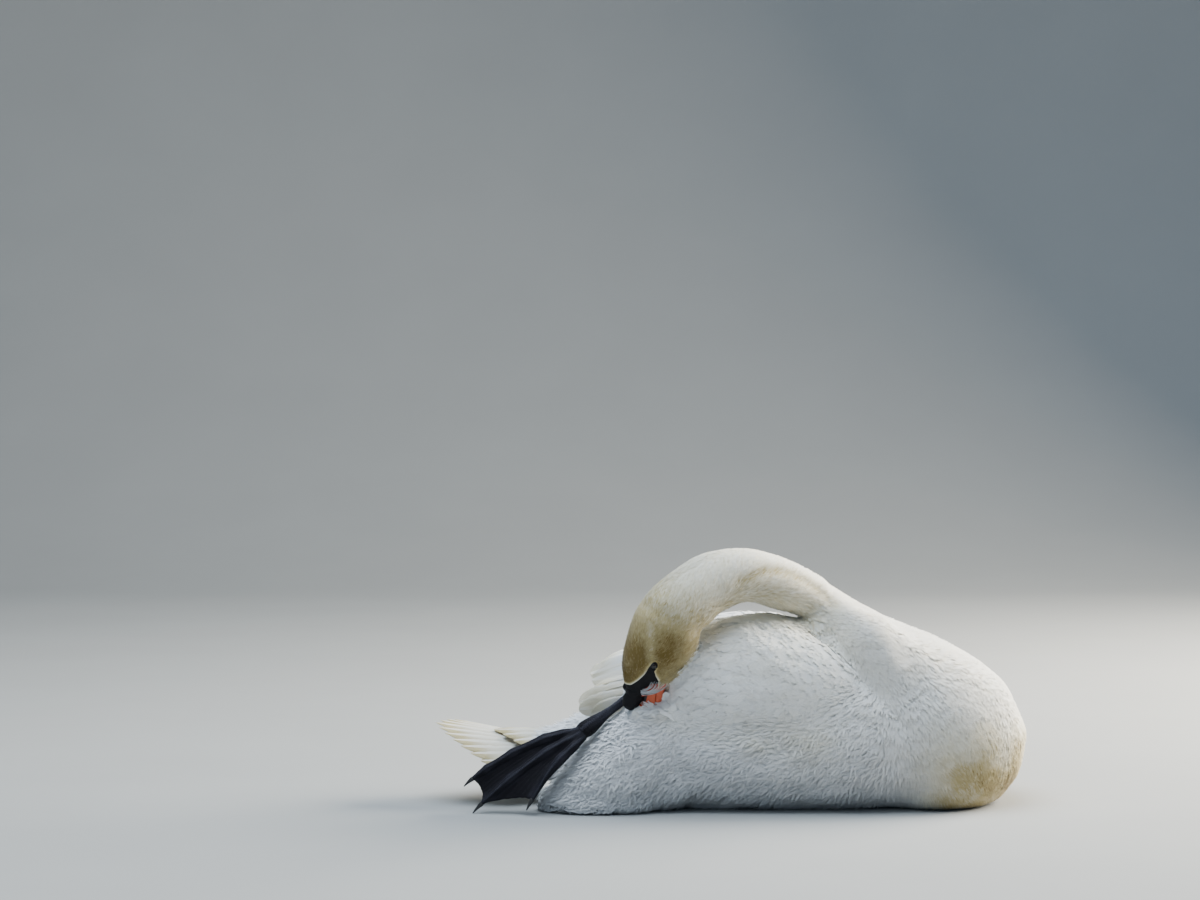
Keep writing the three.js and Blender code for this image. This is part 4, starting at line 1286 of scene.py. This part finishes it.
downLooks = {
    "barbs": 3, "length": 24, "width": 7, "crown": 0.25, "curl": 1.2, "scatter": 0.5, "fan": 0.5,
    "uneven": 0.35,
    "lift": lambda roots, on, looks: looks["lift"] * 1.45 + 1,
    # painted shade, partly soiling low down
    "tone": lambda roots, on, looks: looks["tone"] - paintedShadeAndSoilOf(roots),
}
covertLooks = {"shape": longLeaf, "thick": 0.5, "camber": 0.14, "soft": 0.6, "rise": 0.6, "curl": 0.3}
rumpLooks = {
    **covertLooks, "scatter": 0.08, "ragged": 0.05, "length": 58, "width": 20,
    "lift": lambda roots, on, looks: looks["lift"] + 1.0,
}
wingLooks = {
    "shape": smallLeaf, "scatter": 0.08, "ragged": 0.06, "thick": 0.35, "soft": 0.85, "uneven": 0.08,
    "roll": 0.03, "tone": 1.0,
    "lift": lambda roots, on, looks: looks["lift"] * 0.9,
}
wingCovertLooks = {
    **covertLooks, "scatter": 0.05, "ragged": 0.04, "length": 62, "width": 22, "roll": 0.03,
    "lift": lambda roots, on, looks: looks["lift"] + 1.2,
}


def named(*names):
    return isOf(faceLabel, *names)


feathered = faceField["bare"] < 0.5
right = faceMiddle[:, 1] < 0.009
onRump = (faceMiddle[:, 0] < -0.165) & (faceMiddle[:, 2] > 0.06)
onWingsRear = (faceField["wing"] > 0.6) & (faceMiddle[:, 0] < 0.035) & (faceField["head"] > 42)
hasDown = named("trunk", "thigh_right", "thigh_left") & (faceField["flank"] > 0.25)
headSpacing = np.where(faceField["fromBill"] < 0.09, 1.5, 1.8)
coatOf("coat_head", named("head") & feathered, headSpacing, slot="stained_plumage", **headLooks)
coatOf("coat_neck_upper", named("neck_upper", "neck_middle") & feathered, 2.0, scatter=0.12, **neckLooks)
coatOf("coat_neck_lower", named("neck_lower"), 2.1, scatter=0.14, **neckLooks)
coatOf("coat_neck_base", named("neck_base"), 3.6, **neckRootLooks)
coatOf("coat_breast_right", named("breast") & right, 5.7, **breastLooks)
coatOf("coat_breast_left", named("breast") & ~right, 6.0, **breastLooks)
coatOf("coat_flank_right", named("trunk") & right, 5.9, **flankLooks)
coatOf("coat_flank_left", named("trunk") & ~right, 6.4, **flankLooks)
coatOf("coat_thighs", named("thigh_right", "thigh_left"), 5.0, **flankLooks)
coatOf("down", hasDown, 8.5, **downLooks)
coatOf("rump_coverts", named("trunk") & onRump, 11.5, **rumpLooks)
for side in ("right", "left"):
    chosen = named(f"wing_{side}")
    coatOf(f"coat_wing_{side}", chosen, 6.4, **wingLooks)
    coatOf(f"wing_coverts_{side}", chosen & onWingsRear, 13.5, **wingCovertLooks)
print("coat grown")


# pieces that keep their solid's shape, made finer
def smoothSurface(mesh, rounds):
    surface = Surface(mesh)
    bpy.data.meshes.remove(mesh)
    surface.connect(surface.edges)
    surface.points = surface.spread(surface.points, rounds)
    surface.refresh()
    return surface


def finerCopy(nodes, cell, rounds, swell=0.0, balls=()):
    together = joinedCopies(nodes, swell)
    addBalls(together, balls)
    return smoothSurface(remeshed(together, cell), rounds)


def finePiece(name, nodes, surface, material, attributes=None):
    surface.points[:, 2] = np.maximum(surface.points[:, 2], 0)
    quads = surface.padded[surface.isQuad]
    triangles = surface.padded[~surface.isQuad][:, :3]
    faces = [f for f in (quads, triangles) if len(f)]
    piece = meshPiece(name, surface.points, faces, material, attributes)
    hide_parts(*nodes)
    print(f"  {name}: {trianglesOf(piece)} triangles")


def cellHeights(points, size):
    # 0 in the furrows between small plates, 1 on them
    found = []
    for row in (points / (size * mm)).tolist():
        near = noise.voronoi(row)[0]
        found.append(near[1] - near[0])
    return smoothStep(0.0, 0.28, np.array(found))


# knob, bill and nail; each grain is a size and a height in millimetres
bill = {
    "root": (24, -13), "drop": 17, "cell": 1.0,
    "nostril": (50, 5.5), "nostrilSize": (6.5, 2.2), "nostrilDepth": 1.3,
    "knobCell": 0.9, "knobGrain": (7, 0.35), "knobPlates": (1.6, 0.12), "nailCell": 0.7,
    "bridges": [(-137, -124, 168, 12), (-131, -120, 159, 8), (-146, -117, 173, 7)],
}


def inBill(points):
    # millimetres from the gape along the bill, up from its middle, and to the left
    front, up, side = inHead(points).T
    drop = math.radians(bill["drop"])
    front, up = front - bill["root"][0], up - bill["root"][1]
    return front * math.cos(drop) - up * math.sin(drop), front * math.sin(drop) + up * math.cos(drop), side


def nostrilAt(points):
    along, height, side = inBill(points)
    (front, up), (long, high) = bill["nostril"], bill["nostrilSize"]
    away = np.hypot((along - front) / long, (height - up + 0.08 * (along - front)) / high)
    return smoothStep(1.6, 0.6, away) * (np.abs(side) > 5)


def blackOfBill(points):
    # black at its root, along its cutting edge, in the nostrils and round the nail
    along, height, _ = inBill(points)
    root = smoothStep(2.5, -2.5, along - 1 - 30 * smoothStep(3, 9, height))
    edge = smoothStep(2.4, 1.0, np.abs(height + 1.5 - 0.02 * along)) * smoothStep(40, 48, along)
    nostrils = smoothStep(0.25, 0.9, nostrilAt(points))
    return np.max([root, edge, nostrils, smoothStep(86, 90, along)], axis=0)


# the knob swells out of the forehead without a step
knob = finerCopy(["bill_knob"], bill["knobCell"], 12, 0.5, bill["bridges"])
knob.push(bill["knobGrain"][1] * cloud(knob.points, bill["knobGrain"][0]))
knob.push(bill["knobPlates"][1] * cellHeights(knob.points, bill["knobPlates"][0]))
finePiece("forehead_knob", ["bill_knob"], knob, "blackSkin")
upperBill = finerCopy(["bill_upper"], bill["cell"], 6)
upperBill.push(-bill["nostrilDepth"] * nostrilAt(upperBill.points))
blackAbove = {"black": blackOfBill(upperBill.points)}
finePiece("upper_bill", ["bill_upper"], upperBill, "bill", blackAbove)
lowerBill = finerCopy(["bill_lower"], bill["cell"], 6)
blackBelow = {"black": smoothStep(4, 0, inBill(lowerBill.points)[0])}
finePiece("lower_bill", ["bill_lower"], lowerBill, "bill", blackBelow)
nail = finerCopy(["bill_nail"], bill["nailCell"], 5)
finePiece("bill_tip_nail", ["bill_nail"], nail, "claw")


eyes = {"rings": 24, "around": 40, "bulge": 0.05, "bulgeWithin": (0.75, 0.1)}


def makeEyeball(name, node, sign):
    # a ball whose rings lie round the way it looks
    low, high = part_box(node)
    radius = (high - low).length / 2 / math.sqrt(3) / mm
    rings, around = eyes["rings"], eyes["around"]
    looks = headSide * sign
    points, along = [], []
    for i in range(rings + 1):
        angle = math.pi * i / rings
        bulge = 1 + eyes["bulge"] * smoothStep(*eyes["bulgeWithin"], angle / math.pi * 2)
        for k in range(around):
            turned = 2 * math.pi * k / around
            flat = math.sin(angle) * (math.cos(turned) * headFront + math.sin(turned) * headUp)
            points.append(middleOf(node) + mm * radius * (bulge * math.cos(angle) * looks + flat))
            along.append(math.sin(angle) if angle < math.pi / 2 else 1.0)
    made = bmesh.new()
    layer = made.verts.layers.float.new("along")
    rows = [[made.verts.new(p) for p in points[i * around:(i + 1) * around]] for i in range(rings + 1)]
    for first, second in zip(rows, rows[1:]):
        for k in range(around):
            made.faces.new((first[k], first[(k + 1) % around], second[(k + 1) % around], second[k]))
    made.verts.index_update()
    for vertex, value in zip([v for row in rows for v in row], along):
        vertex[layer] = value
    bmesh.ops.remove_doubles(made, verts=made.verts, dist=0.01 * mm)
    bmesh.ops.recalc_face_normals(made, faces=made.faces)
    mesh = bpy.data.meshes.new(name)
    made.to_mesh(mesh)
    made.free()
    mesh.polygons.foreach_set("use_smooth", [True] * len(mesh.polygons))
    mesh.materials.append(materials["eye"])
    piece = placed(name, mesh)
    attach(piece, "root")
    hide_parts(node)


makeEyeball("eyeball_left", "eye_left", 1)
makeEyeball("eyeball_right", "eye_right", -1)
print("head finished")

# legs: the way the top of the foot faces, where the joint, the shank and the toes run, rows of balls added
# from one to another, how much thicker the joint and thinner the shank is, and how far its upper end hangs
legs = {
    "right": {
        "top": (-0.22, -0.88, 0.42),
        "joint": (-208, -115, 111),
        "shank": [(-208, -115, 111), (-152, -91, 150)],
        "toes": {
            "inner": [(-202, -117, 105), (-224, -129, 88), (-250, -137, 62), (-275, -141, 23)],
            "middle": [(-207, -115, 109), (-242, -120, 92), (-280, -122, 67), (-316, -121, 38),
                       (-344, -120, 14)],
            "outer": [(-211, -112, 114), (-258, -111, 101), (-302, -109, 81), (-338, -107, 59),
                      (-357, -106, 46)],
        },
        "added": [[(-208, -106, 107, 6), (-213, -80, 97, 3.4)],
                  [(-154, -92, 162, 6.5), (-139, -84, 169, 4.5)]],
        "thicker": 5.0,
        "thinner": 2.3,
        "droop": 13,
    },
    "left": {
        "top": (0, 0, 1),
        "joint": (-32, 121, 9),
        "shank": [(-32, 121, 9), (-70, 112, 12)],
        "toes": {
            "inner": [(-28, 117, 8), (26, 107, 7), (66, 99, 4.6)],
            "middle": [(-28, 122, 8.5), (56, 129, 8), (108, 137, 4.6)],
            "outer": [(-28, 127, 8), (34, 149, 8), (88, 169, 4.6)],
        },
        "added": [[(-38, 118, 8, 5), (-56, 107, 5.5, 3.2)]],
        "thicker": 1.0,
        "thinner": 0.5,
        "droop": 0,
    },
}
feet = {
    "cell": 0.9, "swell": 0.7, "clawCell": 0.55,
    "knuckles": {"inner": 2, "middle": 3, "outer": 4}, "knuckle": 0.7,
    "pleats": 13, "pleat": 0.22,
    "plate": 2.2, "plateHeights": (0.10, 0.16), "shankPlate": 3.0, "shankPlateHeight": 0.38,
    "joint": 20, "calf": (14, 62), "droops": 80, "droopsMost": 1.25, "softJoint": 24, "softRounds": 220,
    "sheen": (8, 60), "toeWear": 0.25,
# where the painted sheen runs up the shank, and how much wear and painted highlight the toe ridges get
}


def sculptFoot(surface, leg, onFoot):
    # knuckles on the toes, pleats in the web and small plates on both; returns how much lighter each place is
    # painted: wear and painted highlight on the toe ridges, most on the knuckles, where they face the top of
    # the foot
    distances = []
    ridge = np.zeros(len(surface.points))
    for toe, count in feet["knuckles"].items():
        away, along = lineDistance(surface.points, leg["toes"][toe])
        distances.append(away)
        onToe = smoothStep(10, 6.5, away) * onFoot
        knuckles = np.cos(2 * math.pi * count * along) * 0.5 + 0.5
        surface.push(feet["knuckle"] * onToe * knuckles ** 3)
        ridge = np.maximum(ridge, onToe * (0.35 + 0.65 * knuckles ** 2))
    near = np.sort(np.array(distances), axis=0)
    between = near[0] / np.maximum(near[0] + near[1], 1e-6)
    onWeb = smoothStep(7, 12, near[0]) * onFoot
    pleats = np.sin(between * math.pi * feet["pleats"]) + 0.8 * cloud(surface.points, 9)
    surface.push(feet["pleat"] * onWeb * pleats)
    onWebPlates, onToePlates = feet["plateHeights"]
    plates = cellHeights(surface.points, feet["plate"])
    surface.push(onFoot * (onWebPlates + onToePlates * (1 - onWeb)) * plates)
    surface.refresh()
    return ridge * smoothStep(-0.1, 0.8, surface.normals @ unit(np.array(leg["top"])))


def towards(points, start, end):
    # millimetres from start on the way to end
    return (points / mm - start) @ unit(np.array(end) - start)


legSurfaces = {}
for side, leg in legs.items():
    joint = np.array(leg["joint"])
    added = [tuple(first * (1 - share) + last * share) for first, last in np.array(leg["added"])
             for share in np.linspace(0, 1, 9)]
    nodes = [f"tarsus_{side}", f"foot_{side}"]
    made = finerCopy(nodes, feet["cell"], 3, feet["swell"], added)
    fromJoint = lengthOf(made.points / mm - joint)
    upShank = towards(made.points, joint, leg["shank"][1])
    thicker = leg["thicker"] * bell(fromJoint / feet["joint"])
    made.push(thicker - leg["thinner"] * smoothStep(*feet["calf"], upShank))
    made.points[:, 2] -= leg["droop"] * mm * np.clip(upShank / feet["droops"], 0, feet["droopsMost"])
    softened = made.spread(made.points, feet["softRounds"]) - made.points
    made.points += np.exp(-(fromJoint / feet["softJoint"]) ** 4)[:, None] * softened
    made.points = made.spread(made.points, 3)
    made.refresh()
    onShank = towards(made.points, joint, leg["toes"]["middle"][1]) < 0
    plates = cellHeights(made.points, feet["shankPlate"]) * onShank
    made.push(feet["shankPlateHeight"] * plates)
    worn = sculptFoot(made, leg, ~onShank)
    # painted sheen: the side of the shank that faces the top is painted lighter
    facing = smoothStep(-0.3, 0.9, made.normals @ unit(np.array(leg["top"])))
    sheen = onShank * facing * smoothStep(*feet["sheen"], upShank) * (0.55 + 0.45 * plates)
    wearAndSheenShares = {"worn": np.maximum(feet["toeWear"] * worn, sheen)}
    finePiece(f"leg_and_foot_{side}", nodes, made, "leg", wearAndSheenShares)
    legSurfaces[side] = made
    for toe in ("inner", "middle", "outer", "hind"):
        node = f"claw_{toe}_{side}"
        finePiece(f"{toe}_claw_{side}", [node], finerCopy([node], feet["clawCell"], 4), "claw")
print("legs grown")


# horny plates along the toes and the shank: a mesh of points in, one plate on each; sizes in millimetres
scutes = {"spacing": 2.5, "onShank": 1.25, "narrowing": 0.35, "ends": (2.0, 1.0), "above": 20, "under": 2}
scuteInputs = {"Plate Length": 1.45 * mm, "Plate Width": 2.9 * mm, "Plate Height": 0.75 * mm, "Uneven": 0.18,
               "Seed": 5}


def scuteTree():
    tree = bpy.data.node_groups.new("scutes", "GeometryNodeTree")
    tree.interface.new_socket("Geometry", in_out="INPUT", socket_type="NodeSocketGeometry")
    tree.interface.new_socket("Geometry", in_out="OUTPUT", socket_type="NodeSocketGeometry")
    for key, value in scuteInputs.items():
        kind = "NodeSocketFloat" if isinstance(value, float) else "NodeSocketInt"
        tree.interface.new_socket(key, in_out="INPUT", socket_type=kind)

    def node(kind, settings=None, inputs=None):
        made = tree.nodes.new(kind)
        for key, value in (settings or {}).items():
            setattr(made, key, value)
        for key, value in (inputs or {}).items():
            if isinstance(value, bpy.types.NodeSocket):
                tree.links.new(value, made.inputs[key])
            else:
                made.inputs[key].default_value = value
        return made

    given = node("NodeGroupInput").outputs
    points = node("GeometryNodeMeshToPoints", None, {"Mesh": given["Geometry"]})
    way, top, size = (
        node("GeometryNodeInputNamedAttribute", {"data_type": kind}, {"Name": name}).outputs[0]
        for name, kind in (("way", "FLOAT_VECTOR"), ("top", "FLOAT_VECTOR"), ("size", "FLOAT")))
    smallest = node("ShaderNodeMath", {"operation": "SUBTRACT"}, {0: 1.0, 1: given["Uneven"]})
    chance = node("FunctionNodeRandomValue", {"data_type": "FLOAT"},
                  {2: smallest.outputs[0], 3: 1.0, "Seed": given["Seed"]})
    shape = node("ShaderNodeCombineXYZ", None,
                 {"X": given["Plate Length"], "Y": given["Plate Width"], "Z": given["Plate Height"]})
    scale = {"operation": "SCALE"}
    sized = node("ShaderNodeVectorMath", scale, {0: shape.outputs[0], "Scale": size})
    varied = node("ShaderNodeVectorMath", scale, {0: sized.outputs[0], "Scale": chance.outputs[1]})
    turned = node("FunctionNodeAxesToRotation", {"primary_axis": "Z", "secondary_axis": "X"},
                  {"Primary Axis": top, "Secondary Axis": way})
    plate = node("GeometryNodeMeshUVSphere", None, {"Segments": 8, "Rings": 5, "Radius": 1.0})
    laid = node("GeometryNodeInstanceOnPoints", None,
                {"Points": points.outputs[0], "Instance": plate.outputs[0], "Rotation": turned.outputs[0],
                 "Scale": varied.outputs[0]})
    real = node("GeometryNodeRealizeInstances", None, {"Geometry": laid.outputs[0]})
    worn = node("GeometryNodeStoreNamedAttribute", {"data_type": "FLOAT", "domain": "POINT"},
                {"Geometry": real.outputs[0], "Name": "worn", "Value": 0.55})
    smooth = node("GeometryNodeSetShadeSmooth", None, {"Geometry": worn.outputs[0]})
    finished = node("GeometryNodeSetMaterial", None,
                    {"Geometry": smooth.outputs[0], "Material": materials["leg"]})
    tree.links.new(finished.outputs[0], node("NodeGroupOutput").inputs[0])
    return tree


def alongLine(line, reached, distance):
    return np.array([np.interp(distance, reached, line[:, k]) for k in range(3)])


def plateRoots(surface, line, top, size):
    # places on the surface above a line, with the way the line runs and the surface's normal there
    tree = BVHTree.FromPolygons([Vector(p) for p in surface.points], surface.polygons)
    line = np.array(line, float)
    reached = np.concatenate([[0], np.cumsum(lengthOf(np.diff(line, axis=0)))])
    first, last = scutes["ends"]
    reach = (scutes["above"] + scutes["under"]) * mm
    found = []
    for distance in np.arange(first, reached[-1] - last, scutes["spacing"] * size):
        place = alongLine(line, reached, distance)
        ahead = alongLine(line, reached, distance + 1)
        hit, normal, _, _ = tree.ray_cast(Vector((place + scutes["above"] * top) * mm), Vector(-top), reach)
        if hit is not None:
            narrowed = size * (1 - scutes["narrowing"] * distance / reached[-1])
            found.append((np.array(hit), unit(ahead - place), np.array(normal), narrowed))
    return found


tree = scuteTree()
for side, leg in legs.items():
    top = unit(np.array(leg["top"]))
    lines = [(line, 1.0) for line in leg["toes"].values()] + [(leg["shank"], scutes["onShank"])]
    roots = [root for line, size in lines for root in plateRoots(legSurfaces[side], line, top, size)]
    mesh = bpy.data.meshes.new(f"scutes_{side}")
    mesh.vertices.add(len(roots))
    mesh.vertices.foreach_set("co", np.array([root[0] for root in roots], np.float32).ravel())
    for key, column, kind in (("way", 1, "vector"), ("top", 2, "vector"), ("size", 3, "value")):
        layer = mesh.attributes.new(key, "FLOAT_VECTOR" if kind == "vector" else "FLOAT", "POINT")
        layer.data.foreach_set(kind, np.array([root[column] for root in roots], np.float32).ravel())
    holder = placed("holder", mesh)
    modifier = holder.modifiers.new("scutes", "NODES")
    modifier.node_group = tree
    for item in tree.interface.items_tree:
        if item.in_out == "INPUT" and item.name in scuteInputs:
            modifier[item.identifier] = scuteInputs[item.name]
    piece = placed(f"scutes_{side}", finalMesh(holder))
    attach(piece, "root")
    print(f"  scutes_{side}: {len(roots)} plates, {trianglesOf(piece)} triangles")
print("legs finished")


# long stiff feathers of the wings and tail; columns run across a feather, from edge to edge
plumeColumns = np.array([-1, -0.8, -0.55, -0.3, -0.1, 0, 0.1, 0.3, 0.55, 0.8, 1.0])
plumeLooks = {"rise": 4.0, "outer": 0.5, "thick": 0.5, "rows": 30, "point": 1.0}
plumeMarks = {"quill": 0.9, "camber": 0.16, "ripple": 0.12, "nick": 0.10, "nicked": 0.12, "bend": 0.8,
              "rootWidth": 0.35, "widensBy": 0.3, "tapersFrom": 0.74, "taper": 2.2, "thinner": 0.7}


def plume(root, tip, across, halfWidth, **changed):
    # one closed feather: a grid on top, the same below it, and walls between them; outer is the share of its
    # width that lies on the near side of the shaft
    looks = {**plumeLooks, **changed}
    rows, columns = looks["rows"], plumeColumns
    root, tip, across = (np.array(v, float) for v in (root, tip, across))
    along = unit(tip - root)
    side = unit(across - along * (across @ along))
    up = np.cross(side, along)
    up = up if up[2] > 0 else -up
    # t runs from the root to the tip, with its rows closer together towards the tip
    t = 1 - np.cos(np.linspace(0, math.pi / 2, rows)) ** plumeMarks["bend"]
    t = np.sort(1 - t)
    rootWidth, tapersFrom = plumeMarks["rootWidth"], plumeMarks["tapersFrom"]
    body = rootWidth + (1 - rootWidth) * smoothStep(0, plumeMarks["widensBy"], t)
    taper = np.clip((t - tapersFrom) / (1 - tapersFrom), 0, 1) ** plumeMarks["taper"]
    end = np.sqrt(np.clip(1 - taper, 0.0025, 1))
    width = halfWidth * body * end ** looks["point"]
    nick = 1 - plumeMarks["nick"] * (dice.random((rows, 2)) < plumeMarks["nicked"]) * (t > 0.3)[:, None]
    sideways = 2 * columns * np.where(columns < 0, looks["outer"], 1 - looks["outer"]) * width[:, None]
    sideways *= np.where(columns < 0, nick[:, :1], nick[:, 1:])
    quill = plumeMarks["quill"] * bell(columns / 0.06) * (1.1 - t)[:, None]
    ripple = dice.normal(0, plumeMarks["ripple"], (rows, len(columns))) * (np.abs(columns) > 0.5)
    arch = looks["rise"] * np.sin(math.pi * t)
    height = arch[:, None] - plumeMarks["camber"] * columns ** 2 * width[:, None] + quill + ripple
    length = np.linalg.norm(tip - root)
    top = root + along * (t * length)[:, None, None] + side * sideways[..., None] + up * height[..., None]
    below = top - up * (looks["thick"] * (1 - plumeMarks["thinner"] * t))[:, None, None]
    size = rows * len(columns)
    grid = np.arange(size).reshape(rows, len(columns))
    quads = np.stack([grid[:-1, :-1], grid[1:, :-1], grid[1:, 1:], grid[:-1, 1:]], -1).reshape(-1, 4)
    rim = np.concatenate([grid[:-1, 0], grid[-1, :-1], grid[:0:-1, -1], grid[0, :0:-1]])
    walls = np.stack([rim, np.roll(rim, -1), np.roll(rim, -1) + size, rim + size], -1)
    if np.cross(top[1, 0] - top[0, 0], top[0, 1] - top[0, 0]) @ up < 0:
        quads = quads[:, ::-1]
    else:
        walls = walls[:, ::-1]

    def aboveAndBelow(values):
        return np.concatenate([np.broadcast_to(values, (rows, len(columns))).ravel()] * 2)

    return {
        "points": np.concatenate([top.reshape(-1, 3), below.reshape(-1, 3)]) * mm,
        "faces": np.concatenate([quads, quads[:, ::-1] + size, walls]),
        "along": aboveAndBelow(t[:, None]),
        "across": aboveAndBelow(np.abs(columns)),
        "shaft": aboveAndBelow((np.abs(columns) < 0.12) * 1.0),
        "uv": np.stack([aboveAndBelow(t[:, None]), aboveAndBelow((columns + 1) / 2)], -1),
    }


def plumePiece(name, node, plumes, stain, finish="flight"):
    # the stain function takes the shares along and across the feathers and gives how deep their stain is,
    # with painted shade on the tail
    faces, uvs, start = [], [], 0
    shelf = math.ceil(math.sqrt(len(plumes)))
    for i, made in enumerate(plumes):
        faces.append(made["faces"] + start)
        start += len(made["points"])
        corner = np.array([i % shelf, i // shelf])
        uvs.append((corner + 0.05 + 0.9 * made["uv"]) / shelf)
    joined = {key: np.concatenate([made[key] for made in plumes])
              for key in ("points", "along", "across", "shaft")}
    points = joined.pop("points")
    attributes = {**joined, "stain": stain(joined), "tone": 0.05 + 0.25 * joined["along"]}
    piece = meshPiece(name, points, [np.concatenate(faces)], finish, attributes, np.concatenate(uvs))
    if node:
        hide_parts(node)
    print(f"  {name}: {len(plumes)} feathers, {trianglesOf(piece)} triangles")


# shift goes from these numbers to the frame; a root's second number is added to its tip's, and later is how
# much higher each next root lies
longFeathers = {
    "shift": np.array([4.0, 9.0, 0.0]), "leftTuck": (12, 0, -14), "count": 4, "later": 8,
    "looks": {"rise": 3, "outer": 0.42},
    "primaries": {
        "tips": [(-200, -80, 129), (-214, -78, 133), (-222, -74, 140), (-214, -69, 147), (-201, -64, 153)],
        "root": (-60, -4, 150), "across": (0, -0.35, 1), "half": 19,
    },
    "tertials": {
        "tips": [(-186, -68, 169), (-199, -62, 175), (-201, -54, 183), (-186, -46, 191)],
        "root": (-40, 2, 205), "across": (0, -0.62, -0.78), "half": 24,
    },
}
# lift, roll and spread are degrees
tail = {
    "root": (-222, 0, 70), "length": 196, "shorter": 0.34, "lift": 10.5, "roll": 12, "spread": 27,
    "pairs": 7, "rootWidth": 16, "layer": 1.6, "half": 17, "looks": {"rise": 2.5, "point": 1.9},
}
tailCoverts = {
    "root": (-210, 9, 94), "length": 122, "shorter": 0.3, "spread": 24, "count": 7, "rootWidth": 14,
    "half": 15, "looks": {"rise": 2, "point": 1.5},
}


def wingFeathers(kind, mirror):
    bundle = longFeathers[kind]
    tips = np.array(bundle["tips"], float)
    places = np.linspace(0, len(tips) - 1, longFeathers["count"])
    made = []
    for place in places:
        tip = np.array([np.interp(place, np.arange(len(tips)), tips[:, k]) for k in range(3)])
        root = np.array(bundle["root"], float) + (0, tip[1], longFeathers["later"] * place)
        across = np.array(bundle["across"], float)
        if mirror:
            root, tip, across = (v * (1, -1, 1) for v in (root, tip, across))
            root, tip = root + longFeathers["leftTuck"], tip + longFeathers["leftTuck"]
        root, tip = root + longFeathers["shift"], tip + longFeathers["shift"]
        made.append(plume(root, tip, across, bundle["half"], **longFeathers["looks"]))
    return made


def tailFeathers():
    lift, roll, spread = (math.radians(tail[key]) for key in ("lift", "roll", "spread"))
    base = np.array(tail["root"]) + longFeathers["shift"]
    made = []
    for i in range(-tail["pairs"], tail["pairs"] + 1):
        share = i / tail["pairs"]
        turned = share * spread
        length = tail["length"] * (1 - tail["shorter"] * abs(share) ** 1.3)
        sideways = math.sin(turned) * length + tail["rootWidth"] * share
        height = math.tan(lift) * length + math.sin(roll) * sideways - 25 * share ** 2
        tip = np.array([-math.cos(turned) * length, sideways, height])
        start = np.array([0, tail["rootWidth"] * share, 3 * share - 4 * share ** 2])
        slope = roll - share * 0.42
        layer = np.array([0, 0, tail["layer"] * (1 - abs(share))])
        across = (0, math.cos(slope), math.sin(slope))
        made.append(plume(base + start + layer, base + tip + layer, across, tail["half"], **tail["looks"]))
    # the longest coverts lie over the roots of the tail
    spread = math.radians(tailCoverts["spread"])
    for share in np.linspace(-1, 1, tailCoverts["count"]):
        turned = share * spread
        length = tailCoverts["length"] * (1 - tailCoverts["shorter"] * abs(share))
        root = np.array(tailCoverts["root"]) + [0, tailCoverts["rootWidth"] * share, -5 * abs(share)]
        tip = root + [-math.cos(turned) * length, math.sin(turned) * length, 4 + 4 * share - 10 * share ** 2]
        across = (0, 1, 0.2 - 0.3 * share)
        made.append(plume(root, tip, across, tailCoverts["half"], **tailCoverts["looks"]))
    return made


def tipStain(made):
    return np.clip(0.07 + 0.38 * smoothStep(0.68, 0.98, made["along"]) + 0.06 * made["across"], 0, 1)


for side in ("right", "left"):
    for kind in ("primaries", "tertials"):
        plumePiece(f"long_{kind}_{side}", f"{kind}_{side}", wingFeathers(kind, side == "left"), tipStain)
# the tail's extra 0.26 of stain is partly cream colour, partly painted shade
plumePiece("tail_feathers", "tail", tailFeathers(), lambda made: tipStain(made) + 0.26)

# loose strands of flank down lie over the root of the bill
wisps = {"count": 21, "root": (-127, -147, 170), "tips": [(-114, -146, 186), (-91, -142, 177)], "half": 0.75,
         "rise": -5.5, "stain": 0.02, "looks": {"thick": 0.3, "rows": 12}}


def strands():
    made = []
    first, last = (np.array(tip) for tip in wisps["tips"])
    for share in (np.arange(wisps["count"]) + 0.5) / wisps["count"]:
        tip = first * (1 - share) + last * share + dice.normal(0, 1.3, 3)
        root = np.array(wisps["root"]) + dice.normal(0, 1.1, 3) + np.array([0, 0, -3.5]) * share
        rise = wisps["rise"] * math.sin(math.pi * (0.2 + 0.6 * share))
        made.append(plume(root, tip, (0.1, 1, 0.1), wisps["half"], rise=rise, **wisps["looks"]))
    return made


plumePiece("bill_down", None, strands(), lambda made: np.full(len(made["along"]), wisps["stain"]), "plumage")
print("long feathers finished")
